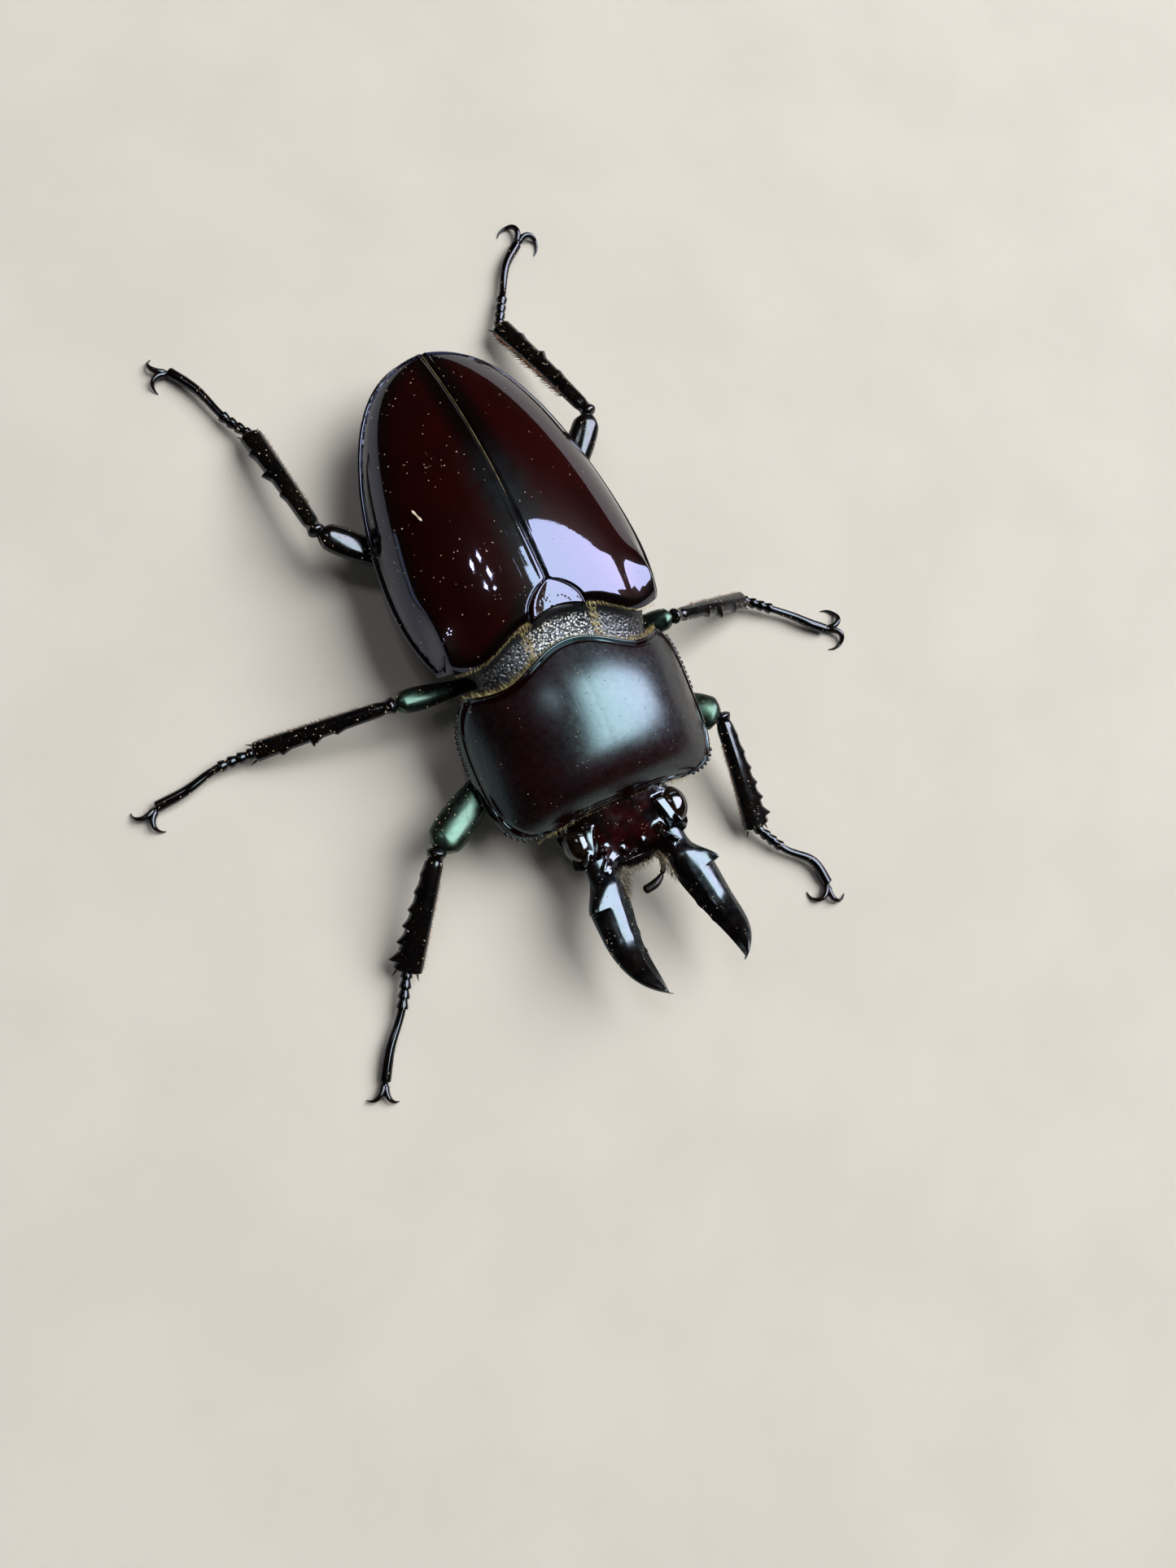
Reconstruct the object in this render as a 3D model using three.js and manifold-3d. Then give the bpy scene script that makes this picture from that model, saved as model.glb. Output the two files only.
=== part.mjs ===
// A life-size stag beetle, standing at rest: a male of the African genus Mesotopus.
//
// Millimetres, +Z up, the head towards -Y and the beetle's left side towards +X. The claws
// stand on z = 0. The shapes are worked out in a body frame whose origin is on the floor below
// the tip of the scutellum, and the finished group is moved to put the middle of the model's
// bounding box over the origin.

import * as THREE from 'three';
import * as BufferGeometryUtils from 'three/addons/utils/BufferGeometryUtils.js';
import Module from 'manifold-3d';

const wasm = await Module();
wasm.setup();

// ---------------------------------------------------------------- driving dimensions

const GAP = 0.06;              // clearance between neighbouring pieces

const ELYTRA = {
  halfWidth: 10.95, widestY: 3, apexY: 23.06,
  topZ: 12.05, topY: 1, apexRise: 0.45, marginZ: 5.3, marginLowY: 14.5, marginBow: 0.0068,
  thickness: 0.7, rimWidth: 0.45, rimHeight: 0.24, shoulder: 0.19,
};
const SCUTELLUM = { halfWidth: 2.3, length: 2.6, thickness: 0.5, crown: 0.12 };
const PRONOTUM = {
  halfWidth: 10.25, widestY: -10.8, rearY: -5.6, frontY: -17.85,
  topZ: 11.15, topY: -10.15, bow: 0.034, browDrop: 2.05, marginZ: 5.05, marginLowY: -12, thickness: 0.65,
  rimWidth: 0.4, rimHeight: 0.16,
};
const BELLY = { prothorax: 2.35, metathorax: 1.95, abdomen: 2.1, tail: 4.9 };
const ABDOMEN = { frontY: 6.2, rearY: 21.9, segments: 5 };
const HEAD = { rearY: -16.75, frontY: -22.3, halfWidth: 5.3, topZ: 6.85, bottomZ: 3.3 };
const EYE = { x: 4.95, y: -19.5, z: 5.3, radii: [0.92, 1.1, 0.98] };
const MANDIBLE = {
  baseY: -22.45, tipY: -33.0, rise: 3.4, baseZ: 4.7, depth: 1.7,
  openDegrees: { left: 3, right: 0 },
};

// The legs' joints, for a standing pose in which no two legs match. Each row is the hip, the knee,
// the ankle, the start of the last tarsal joint and the foot of the claws, then how far that joint
// bows sideways, the degrees that the claws are turned on it and the radians that they hook round.
const LEGS = {
  front_left: {
    kind: 'front', hip: [4.4, -9, 3.2], knee: [12.0, -14.1, 4.4], ankle: [12.1, -24.1, 1.3],
    toe: [13.9, -26.8, 0.85], foot: [16.4, -31.0, 0.5], bow: -0.7, clawTurn: -38, clawHook: 2.7,
  },
  front_right: {
    kind: 'front', hip: [-4.4, -9, 3.2], knee: [-14.9, -15.6, 4.8], ankle: [-20.3, -23.3, 1.3],
    toe: [-21.9, -26.0, 0.85], foot: [-25.0, -30.3, 0.5], bow: 0.2, clawTurn: 4, clawHook: 1.9,
  },
  middle_left: {
    kind: 'middle', hip: [4.2, -3.9, 3.1], knee: [10.9, -5.1, 6.4], ankle: [20.0, -4.9, 1.3],
    toe: [24.0, -7.7, 0.85], foot: [26.8, -10.0, 0.5], bow: 0.1, clawTurn: 22, clawHook: 3.3,
  },
  middle_right: {
    kind: 'middle', hip: [-4.2, -3.9, 3.1], knee: [-13.5, -3.6, 5.0], ankle: [-24.7, -2.5, 1.3],
    toe: [-27.8, -2.6, 0.85], foot: [-32.9, -3.7, 0.5], bow: -0.2, clawTurn: 32, clawHook: 2.2,
  },
  hind_left: {
    kind: 'hind', hip: [5.0, 5.4, 2.9], knee: [12.4, 14.6, 4.7], ankle: [9.4, 26.2, 1.3],
    toe: [11.2, 29.3, 0.85], foot: [14.6, 33.7, 0.5], bow: -0.4, clawTurn: 2, clawHook: 3.4,
  },
  hind_right: {
    kind: 'hind', hip: [-5.0, 5.4, 2.9], knee: [-13.6, 11.8, 4.7], ankle: [-15.0, 22.9, 1.3],
    toe: [-16.3, 25.1, 0.85], foot: [-19.0, 30.4, 0.5], bow: 0.3, clawTurn: 48, clawHook: 2.3,
  },
};
// Half-widths across and half-depths of the femur and tibia, and the coxa's half-sizes.
const LIMB = {
  front: {
    femur: [1.35, 0.92], tibia: [0.72, 1.25, 0.6], coxa: [1.5, 1.25, 0.95], spines: [0.3, 0.5, 0.7, 0.86],
  },
  middle: { femur: [1.0, 0.82], tibia: [0.6, 0.84, 0.56], coxa: [1.3, 1.15, 0.85], spines: [0.58] },
  hind: { femur: [1.25, 0.85], tibia: [0.66, 0.98, 0.58], coxa: [2.0, 1.05, 0.8], spines: [0.6] },
};
const TARSUS = { radius: 0.46, neck: 0.33, joints: 4 };
const CLAW = { reach: 1.2, spread: 0.88, radius: 0.3, tipRadius: 0.25, height: 0.27 };

// ---------------------------------------------------------------- materials

const finish = (color, roughness, metalness = 0) =>
  new THREE.MeshStandardMaterial({ color, roughness, metalness });
const ELYTRA_FINISH = finish(0x2a0b0c, 0.08);
const PRONOTUM_FINISH = finish(0x33161b, 0.3);
const HEAD_FINISH = finish(0x24090a, 0.18);
const MANDIBLE_FINISH = finish(0x0c0a0c, 0.12);
const LEG_FINISH = finish(0x100d0d, 0.25);
const COLLAR_FINISH = finish(0x55504c, 0.6);
const BELLY_FINISH = finish(0x180c0a, 0.35);
const EYE_FINISH = finish(0x0a0908, 0.05);
const PALP_FINISH = finish(0x2e1208, 0.3);

// ---------------------------------------------------------------- building closed meshes

const lerp = THREE.MathUtils.lerp;
const clamp = THREE.MathUtils.clamp;
const smooth = (value, low, high) => THREE.MathUtils.smoothstep(value, low, high);
const hump = (x, y, cx, cy, rx, ry) => Math.exp(-(((x - cx) / rx) ** 2) - ((y - cy) / ry) ** 2);

function closedGeometry(points, faces) {
  const geometry = new THREE.BufferGeometry();
  geometry.setAttribute('position', new THREE.Float32BufferAttribute(points.flat(), 3));
  geometry.setIndex(faces.flat());
  let volume = 0;
  for (const [a, b, c] of faces) {
    const cross = new THREE.Vector3(...points[b]).cross(new THREE.Vector3(...points[c]));
    volume += new THREE.Vector3(...points[a]).dot(cross);
  }
  if (volume < 0) geometry.setIndex(faces.map(([a, b, c]) => [a, c, b]).flat());
  return geometry;
}

// A solid between two surfaces over the same square of parameters: outer(u, v) and inner(u, v),
// with u from -1 or 0 to 1 and v from 0 to 1.
function shell(outer, inner, us, vs) {
  const points = [];
  for (const surface of [outer, inner]) {
    for (const v of vs) {
      for (const u of us) points.push(surface(u, v));
    }
  }
  const width = us.length;
  const layer = width * vs.length;
  const faces = [];
  const quad = (a, b, c, d) => faces.push([a, b, c], [a, c, d]);
  for (let row = 0; row + 1 < vs.length; row++) {
    for (let column = 0; column + 1 < width; column++) {
      const corner = row * width + column;
      quad(corner, corner + 1, corner + width + 1, corner + width);
      const under = corner + layer;
      quad(under, under + width, under + width + 1, under + 1);
    }
    const left = row * width;
    const right = left + width - 1;
    quad(left, left + width, left + width + layer, left + layer);
    quad(right, right + layer, right + width + layer, right + width);
  }
  const last = layer - width;
  for (let column = 0; column + 1 < width; column++) {
    quad(column, column + layer, column + 1 + layer, column + 1);
    quad(last + column, last + column + 1, last + column + 1 + layer, last + column + layer);
  }
  return closedGeometry(points, faces);
}

// A solid through a row of rings with the same number of points, closed by a fan at each end.
function loft(rings) {
  const sides = rings[0].length;
  const points = rings.flat();
  const faces = [];
  for (let ring = 0; ring + 1 < rings.length; ring++) {
    for (let side = 0; side < sides; side++) {
      const a = ring * sides + side;
      const b = ring * sides + (side + 1) % sides;
      faces.push([a, b, b + sides], [a, b + sides, a + sides]);
    }
  }
  const start = (rings.length - 1) * sides;
  for (const [first, flip] of [[0, true], [start, false]]) {
    const middle = points.length;
    const ring = points.slice(first, first + sides);
    points.push([0, 1, 2].map((axis) => ring.reduce((sum, point) => sum + point[axis], 0) / sides));
    for (let side = 0; side < sides; side++) {
      const next = first + (side + 1) % sides;
      faces.push(flip ? [middle, next, first + side] : [middle, first + side, next]);
    }
  }
  return closedGeometry(points, faces);
}

// A limb along a curve: at each station the section is an ellipse, wide across the path and deep
// along the vertical, and nothing goes below the floor.
function limb(curve, stations, radii, sides, grow = 0) {
  const rings = stations.map((station) => {
    const centre = curve.getPointAt(clamp(station, 0, 1));
    const ahead = curve.getTangentAt(clamp(station, 0, 1));
    const across = new THREE.Vector3().crossVectors(ahead, UP).normalize();
    const above = new THREE.Vector3().crossVectors(across, ahead);
    const [wide, deep] = radii(station).map((radius) => radius + grow);
    return Array.from({ length: sides }, (_, side) => {
      const angle = (2 * Math.PI * (side + 0.5)) / sides;
      const point = centre.clone().addScaledVector(across, wide * Math.cos(angle));
      point.addScaledVector(above, deep * Math.sin(angle));
      return [point.x, point.y, Math.max(point.z, 0)];
    });
  });
  return loft(rings);
}

const spread = (low, high, count) =>
  Array.from({ length: count }, (_, index) => lerp(low, high, index / (count - 1)));
const rounded = (low, high, count) =>
  spread(0, Math.PI, count).map((angle) => lerp(low, high, (1 - Math.cos(angle)) / 2));
const UP = new THREE.Vector3(0, 0, 1);
const vector = (values) => new THREE.Vector3(...values);
const curveThrough = (points) => new THREE.CatmullRomCurve3(points.map(vector), false, 'centripetal');

// ---------------------------------------------------------------- joining and cutting

function toManifold(geometry) {
  const bare = geometry.clone();
  bare.deleteAttribute('normal');
  bare.deleteAttribute('uv');
  const merged = BufferGeometryUtils.mergeVertices(bare, 1e-5);
  const vertProperties = new Float32Array(merged.attributes.position.array);
  const triVerts = new Uint32Array(merged.index.array);
  return new wasm.Manifold(new wasm.Mesh({ numProp: 3, vertProperties, triVerts }));
}

function fromManifold(manifold) {
  const { vertProperties, triVerts } = manifold.getMesh();
  const geometry = new THREE.BufferGeometry();
  geometry.setAttribute('position', new THREE.Float32BufferAttribute(vertProperties, 3));
  geometry.setIndex(Array.from(triVerts));
  return geometry;
}

const join = (pieces) =>
  fromManifold(pieces.map(toManifold).reduce((whole, piece) => whole.add(piece)));
const carve = (body, tools) =>
  fromManifold(tools.map(toManifold).reduce((rest, tool) => rest.subtract(tool), toManifold(body)));

function ellipsoid(centre, radii, columns = 8, rows = 6) {
  const geometry = new THREE.SphereGeometry(1, columns, rows);
  geometry.rotateX(Math.PI / 2);
  geometry.scale(...radii);
  geometry.translate(...centre);
  return geometry;
}

// ---------------------------------------------------------------- the group of named meshes

const beetle = new THREE.Group();
function add(name, geometry, material) {
  const mesh = new THREE.Mesh(geometry, material.clone());
  mesh.name = name;
  beetle.add(mesh);
}
const SIDES = [['left', 1], ['right', -1]];

// ---------------------------------------------------------------- outline of the elytra

function elytraHalfWidth(y) {
  const { halfWidth, widestY, apexY } = ELYTRA;
  if (y < widestY) return halfWidth * (1 - 0.11 * ((widestY - y) / 6.7) ** 2.2);
  const u = clamp((y - widestY) / (apexY - widestY), 0, 1);
  return halfWidth * (1 - u ** 1.8) ** 0.41;
}
const elytraMarginZ = (y) =>
  ELYTRA.marginZ + ELYTRA.marginBow * (y - ELYTRA.marginLowY) ** 2;
function elytraCrownZ(y) {
  const { topZ, topY, apexY, apexRise } = ELYTRA;
  if (y < topY) return topZ - 0.035 * (topY - y) ** 2;
  const end = elytraMarginZ(apexY) + apexRise;
  return end + (topZ - end) * (1 - ((y - topY) / (apexY - topY)) ** 2.2);
}
const arch = (t) => Math.max(0, 1 - Math.abs(t) ** 2.3) ** 0.62;
// Half-width of the scutellum, which is also where the inner edge of the elytra runs.
function scutellumEdge(y) {
  const s = clamp((y + SCUTELLUM.length) / SCUTELLUM.length, 0, 1);
  return SCUTELLUM.halfWidth * (1 - s ** 2) ** 0.75;
}
function elytraFrontY(x) {
  const dip = Math.sin((Math.PI / 2) * clamp((Math.abs(x) - SCUTELLUM.halfWidth) / 5, 0, 1)) ** 2;
  return -2.5 - 1.6 * dip + 0.45 * Math.max(0, (Math.abs(x) - 7.3) / 1.9) ** 2;
}
// Height of a dome that stands inset from the outer surface of the elytra.
function elytraDomeZ(x, y, inset = 0) {
  const half = Math.max(elytraHalfWidth(y) - inset, 0.3);
  const base = elytraMarginZ(y) + (inset > 0 ? -0.25 : 0);
  return base + (elytraCrownZ(y) - inset - base) * arch(Math.min(x / half, 1));
}

function elytron(side) {
  const wallInset = (y) => Math.min(ELYTRA.thickness + 0.05, 0.6 * elytraHalfWidth(y));
  const place = (u, v, half) => {
    const frontX = lerp(SCUTELLUM.halfWidth, elytraHalfWidth(-3.3), u);
    const frontY = elytraFrontY(frontX);
    const y = lerp(frontY, ELYTRA.apexY - 0.06, v);
    const inner = y < 0 ? scutellumEdge(y) + 2 * GAP : GAP / 2;
    return [Math.max(lerp(inner, half(y), u), inner), y];
  };
  const outer = (u, v) => {
    const [x, y] = place(u, v, elytraHalfWidth);
    const edge = smooth(x, elytraHalfWidth(y) - ELYTRA.rimWidth, elytraHalfWidth(y) - 0.15);
    const fold = u === 1 ? 0 : edge * ELYTRA.rimHeight;
    const rise = Math.max(x - 6.6, 0) ** 2 * (1 - smooth(x, 8.9, 9.9));
    const shoulder = rise * hump(0, y, 0, -1.9, 1, 2.4);
    return [side * x, y, elytraDomeZ(x, y) + fold + ELYTRA.shoulder * shoulder];
  };
  const inner = (u, v) => {
    const [x, y] = place(u, v, (at) => elytraHalfWidth(at) - wallInset(at));
    return [side * x, y, elytraDomeZ(x, y, wallInset(y))];
  };
  const us = [0, 0.2, 0.4, 0.58, 0.74, 0.86, 0.94, 0.97, 1];
  const besideScutellum = [0, 0.3, 0.6, 0.85].map((share) => 0.098 * share);
  return shell(outer, inner, us, [...besideScutellum, 0.1, 0.21, 0.36, 0.54, 0.7, 0.83, 0.93, 1]);
}

function scutellum() {
  const place = (u, v) => {
    const y = lerp(-SCUTELLUM.length, -0.12, v);
    return [u * scutellumEdge(y), y];
  };
  const top = (u, v) => {
    const [x, y] = place(u, v);
    return [x, y, elytraCrownZ(y) + SCUTELLUM.crown * (1 - u * u) - 0.1 * (1 - v)];
  };
  const bottom = (u, v) => {
    const [x, y] = place(u, v);
    return [x, y, elytraCrownZ(y) - SCUTELLUM.thickness];
  };
  return shell(top, bottom, spread(-1, 1, 5), [0, 0.3, 0.6, 0.85, 1]);
}

// ---------------------------------------------------------------- pronotum and collar

function pronotumHalfWidth(y) {
  const { halfWidth, widestY } = PRONOTUM;
  if (y > widestY) return halfWidth - 0.017 * (y - widestY) ** 2.76;
  return halfWidth * (1 - Math.min((widestY - y) / 7.3, 1) ** 2.6) ** 0.217;
}
const pronotumMarginZ = (y) =>
  PRONOTUM.marginZ + (y > PRONOTUM.marginLowY ? 0.054 : 0.023) * (y - PRONOTUM.marginLowY) ** 2;
function pronotumCrownZ(y) {
  const { topZ, topY, frontY, bow, browDrop } = PRONOTUM;
  const ahead = Math.max(topY - y, 0) / (topY - frontY);
  return topZ - bow * (y - topY) ** 2 - browDrop * ahead ** 6;
}
function pronotumRearY(x) {
  const reach = Math.abs(x);
  const lobe = reach < 5.9 ? 1.9 * (1 - (reach / 5.9) ** 2) ** 2 : 0;
  return -6.4 + lobe + 0.9 * (Math.max(0, reach - 5.9) / 2.9) ** 2;
}
const pronotumFrontY = (x) => -17.6 - 0.3 * (x / 6.3) ** 4;
function pronotumDomeZ(x, y, inset = 0) {
  const half = pronotumHalfWidth(y) - inset;
  const base = pronotumMarginZ(y) + (inset > 0 ? -0.3 : 0);
  const across = Math.min(Math.abs(x / half), 1);
  return base + (pronotumCrownZ(y) - inset - base) * (1 - 0.84 * across ** 2.27 - 0.16 * across ** 8);
}

function pronotum() {
  const place = (u, v, inset) => {
    const station = lerp(PRONOTUM.rearY, PRONOTUM.frontY, v);
    const x = u * (pronotumHalfWidth(station) - inset);
    return [x, lerp(pronotumRearY(x), pronotumFrontY(x), v), station];
  };
  const outer = (u, v) => {
    const [x, y, station] = place(u, v, 0);
    const edge = pronotumHalfWidth(station) * (1 - Math.abs(u));
    const bead = PRONOTUM.rimHeight * (1 - smooth(edge, 0.1, PRONOTUM.rimWidth));
    const rim = Math.abs(u) === 1 ? 0 : bead;
    const saddle = 0.24 * hump(x, y, 0, -5.2, 2.4, 2.6);
    return [x, y, pronotumDomeZ(u * pronotumHalfWidth(station), station) + rim - saddle];
  };
  const inner = (u, v) => {
    const [x, y, station] = place(u, v, PRONOTUM.thickness);
    return [x, y, pronotumDomeZ(x, station, PRONOTUM.thickness)];
  };
  const half = [0.22, 0.42, 0.6, 0.76, 0.88, 0.96, 1];
  const us = [...half.map((u) => -u).reverse(), 0, ...half];
  return shell(outer, inner, us, rounded(0, 1, 9));
}

// The collar between the pronotum and the elytra slopes down and forward under the pronotum.
function collarZ(x, share) {
  const rear = elytraDomeZ(x, elytraFrontY(x)) - 0.5;
  const front = pronotumDomeZ(x, PRONOTUM.rearY - 0.9, PRONOTUM.thickness) - 0.90;
  return lerp(rear, front, share ** 0.6);
}
function collar() {
  const halfWidth = 7.4;
  const place = (u, v) => {
    const x = u * halfWidth;
    const edge = Math.abs(x) < SCUTELLUM.halfWidth ? -SCUTELLUM.length : elytraFrontY(x);
    return [x, lerp(edge - 3 * GAP, pronotumRearY(x) - 0.9, v)];
  };
  const top = (u, v) => [...place(u, v), collarZ(u * halfWidth, v)];
  const bottom = (u, v) => [...place(u, v), collarZ(u * halfWidth, v) - 0.55];
  return shell(top, bottom, spread(-1, 1, 11), spread(0, 1, 3));
}

// ---------------------------------------------------------------- underside of the body

// A body section: a flattened dome above the side line and a shallow keel below it.
function bodyRing(y, half, sideZ, topZ, bottomZ, topPower = 1.15, sides = 12) {
  return Array.from({ length: sides }, (_, side) => {
    const angle = (2 * Math.PI * side) / sides;
    const x = half * Math.cos(angle);
    const rise = Math.abs(Math.sin(angle));
    const above = Math.sin(angle) >= 0;
    return [x, y, above ? lerp(sideZ, topZ, rise ** topPower) : lerp(sideZ, bottomZ, rise ** 0.8)];
  });
}

// Legs' first pieces, also used, a little fatter, to cut the sockets that they turn in.
const mirrorSign = (leg) => Math.sign(leg.hip[0]);
function coxa(leg, grow = 0) {
  const [wide, long, deep] = LIMB[leg.kind].coxa;
  const centre = [leg.hip[0] - mirrorSign(leg) * (wide + 0.28), leg.hip[1], leg.hip[2] - 0.15];
  return ellipsoid(centre, [wide + grow, long + grow, deep + grow], 8, 5);
}
function femurCurve(leg) {
  const [hip, knee] = [vector(leg.hip), vector(leg.knee)];
  const middle = hip.clone().lerp(knee, 0.5);
  middle.z -= 0.3;
  return new THREE.CatmullRomCurve3([hip, middle, knee], false, 'centripetal');
}
function femur(leg, grow = 0) {
  const [wide, deep] = LIMB[leg.kind].femur;
  const profile = (station) => {
    const belly = 0.5 + 0.5 * Math.sin(Math.PI * (0.93 * station) ** 2.2);
    const ends = Math.min(1, Math.sqrt(Math.min(station, 1 - station) / 0.07 + 0.16));
    return [wide * belly * ends, deep * belly * ends];
  };
  return limb(femurCurve(leg), [0, 0.07, 0.3, 0.6, 0.85, 1], profile, 7, grow);
}
const sockets = (kinds) => Object.values(LEGS)
  .filter((leg) => kinds.includes(leg.kind))
  .flatMap((leg) => [coxa(leg, 0.1), femur(leg, 0.15)]);

function prothorax() {
  const rings = spread(-7.7, -16.6, 7).map((y) => {
    const half = pronotumHalfWidth(y) - PRONOTUM.thickness - 0.56;
    const top = pronotumCrownZ(y) - PRONOTUM.thickness - 0.56;
    const keel = BELLY.prothorax + 1.4 * smooth(-y, 13.5, 17.2) + 0.5 * smooth(y, -9, -7.1);
    return bodyRing(y, half, pronotumMarginZ(y) - 0.55, top, keel, 2);
  });
  return carve(loft(rings), sockets(['front']));
}

// The meso- and metathorax, from the waist behind the prothorax to the first belly plate.
function metathorax() {
  const rings = [-7.4, -6.0, -4.6, -2.6, -0.4, 2.8, 6.1].map((y) => {
    const waist = smooth(y, -6.6, -1.5);
    const half = lerp(5.6, elytraHalfWidth(y) - ELYTRA.thickness - 0.4, waist);
    const top = lerp(7.2, elytraCrownZ(y) - ELYTRA.thickness - 1.1, waist);
    const side = lerp(5.2, elytraMarginZ(y) - 0.6, waist);
    return bodyRing(y, half, side, top, lerp(2.9, BELLY.metathorax, smooth(y, -6.6, -2)));
  });
  return carve(loft(rings), sockets(['middle', 'hind']));
}

// One belly plate with the part of the abdomen above it. Each plate's rear edge stands proud.
function bellyPlate(index) {
  const { frontY, rearY, segments } = ABDOMEN;
  const start = lerp(frontY, rearY, index / segments) + GAP;
  const end = lerp(frontY, rearY, (index + 1) / segments);
  const last = index === segments - 1;
  const rings = spread(start, end, last ? 5 : 3).map((y, at, all) => {
    const share = at / (all.length - 1);
    const taper = last ? Math.sqrt(Math.max(1 - share ** 3, 0.12)) : 1;
    const half = (elytraHalfWidth(y) - ELYTRA.thickness - 0.4) * taper;
    const side = elytraMarginZ(y) - 0.55;
    const along = (y - frontY) / (rearY - frontY);
    const keel = lerp(BELLY.abdomen, BELLY.tail, along ** 2.2) - 0.1 * share;
    const top = Math.max(elytraCrownZ(y) - ELYTRA.thickness - 1.1, side + 0.3);
    return bodyRing(y, half, side, lerp(side + 0.3, top, taper), Math.min(keel, side - 0.4));
  });
  return index < 2 ? carve(loft(rings), sockets(['hind'])) : loft(rings);
}

// ---------------------------------------------------------------- head

// Half-width of the head: cheeks behind the eyes, then the sloping front corners.
const headHalfWidth = (y) =>
  HEAD.halfWidth - 0.9 * smooth(y, -18.6, -16.9) - 0.55 * smooth(-y, 21, 22.2);
function headTopZ(x, y) {
  const side = Math.abs(x);
  const across = 1 - (side / headHalfWidth(y)) ** 2.6;
  const along = HEAD.topZ - 1.7 * smooth(y, -18.6, -16.9) - 1.35 * smooth(-y, 18.4, 22.6);
  const knobs = 0.3 * hump(side, y, 3.35, -21.0, 0.55, 0.5) + 0.25 * hump(side, y, 1.8, -21.5, 0.6, 0.45);
  const ridge = 0.55 * hump(side, y, 4.45, -20.9, 0.4, 1.1);
  const dent = 0.18 * hump(side, y, 2.9, -19.4, 0.9, 1.0);
  return 5.2 + (along - 5.2) * Math.max(across, 0) ** 0.55 + knobs + ridge - dent;
}
function head() {
  const place = (u, v) => {
    const station = lerp(HEAD.rearY, HEAD.frontY, v);
    const x = u * headHalfWidth(station);
    const front = HEAD.frontY + 0.35 * Math.abs(u) ** 3 + 0.2 * (1 - u * u) ** 2;
    return [x, lerp(HEAD.rearY, front, v)];
  };
  const top = (u, v) => {
    const [x, y] = place(u, v);
    return [x, y, Math.abs(u) === 1 ? 5.2 : headTopZ(x, y)];
  };
  const bottom = (u, v) => {
    const [x, y] = place(u, v);
    const depth = (1 - Math.abs(u) ** 3) ** 0.6 * (1 - 0.3 * smooth(v, 0.75, 1));
    return [x, y, 5.0 - (5.0 - HEAD.bottomZ) * depth];
  };
  const half = [0.18, 0.35, 0.5, 0.64, 0.78, 0.9, 1];
  const us = [...half.map((u) => -u).reverse(), 0, ...half];
  const skull = shell(top, bottom, us, [0, 0.18, 0.36, 0.52, 0.66, 0.8, 0.92, 1]);
  return carve(skull, SIDES.map(([, side]) => eye(side, GAP)));
}
const eye = (side, grow = 0) =>
  ellipsoid([side * EYE.x, EYE.y, EYE.z], EYE.radii.map((radius) => radius + grow), 9, 7);

// A mandible is short and broad, with an upper outer step near the base and a tip that turns in
// and up. Its outline is two curves, from which each section takes its middle and half-width.
const mandibleOuter = (s) => 4.55 + 1.12 * smooth(s, 0, 0.3) - 2.6 * s ** 7;
const mandibleInner = (s) =>
  2.45 - 0.35 * hump(s, 0, 0.25, 0, 0.2, 1) + 0.45 * s ** 2 + 0.3 * smooth(s, 0.3, 0.8);
function mandibleRing(s, sides = 8) {
  const y = lerp(MANDIBLE.baseY, MANDIBLE.tipY, s);
  const step = 0.5 * smooth(s, 0.1, 0.24) * (1 - smooth(s, 0.25, 0.33));
  const outer = mandibleOuter(s);
  const inner = Math.min(mandibleInner(s), outer - 0.5);
  const middle = (outer + inner) / 2;
  const half = (outer - inner) / 2;
  const deep = Math.max(0.25, (MANDIBLE.depth / 2) * (1 - 0.72 * s ** 1.6));
  const height = MANDIBLE.baseZ + MANDIBLE.rise * s ** 1.8;
  return Array.from({ length: sides }, (_, side) => {
    const angle = (2 * Math.PI * side) / sides;
    const edge = Math.max(0, Math.cos(angle)) * Math.max(0, Math.sin(angle) + 0.35);
    const [across, above] = [half * Math.cos(angle), deep * Math.sin(angle)];
    return [middle + across + step * edge, y, height + above + step * edge];
  });
}
function mandible(name, side) {
  const stations = [0, 0.12, 0.21, 0.26, 0.34, 0.48, 0.62, 0.75, 0.86, 0.94, 1];
  const rings = stations.map((s) => mandibleRing(s).map(([x, y, z]) => [side * x, y, z]));
  const geometry = loft(rings);
  geometry.translate(-side * 3.7, -MANDIBLE.baseY, 0);
  geometry.rotateZ(side * THREE.MathUtils.degToRad(MANDIBLE.openDegrees[name]));
  return geometry.translate(side * 3.7, MANDIBLE.baseY, 0);
}

// Antennae are folded under the head: the scape runs back, and the club comes forward again.
function antennaScape(side) {
  const path = curveThrough([[4.1, -21.2, 3.3], [4.7, -20.0, 2.9], [5.0, -18.2, 2.75]]
    .map(([x, y, z]) => [side * x, y, z]));
  const radii = (s) => [0.27 + 0.1 * s, 0.27 + 0.06 * s];
  return limb(path, spread(0, 1, 4), radii, 6);
}
function antennaClub(side) {
  const path = curveThrough([[4.4, -17.7, 2.5], [3.6, -18.6, 2.3], [2.9, -20.2, 2.2], [2.6, -21.6, 2.2]]
    .map(([x, y, z]) => [side * x, y, z]));
  const radii = (s) => {
    const bead = 0.26 + 0.03 * Math.cos(s * 12 * Math.PI);
    const club = 0.24 * smooth(s, 0.55, 0.72);
    return [bead + club, bead + club * 0.4];
  };
  return limb(path, spread(0, 1, 9), radii, 6);
}

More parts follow.
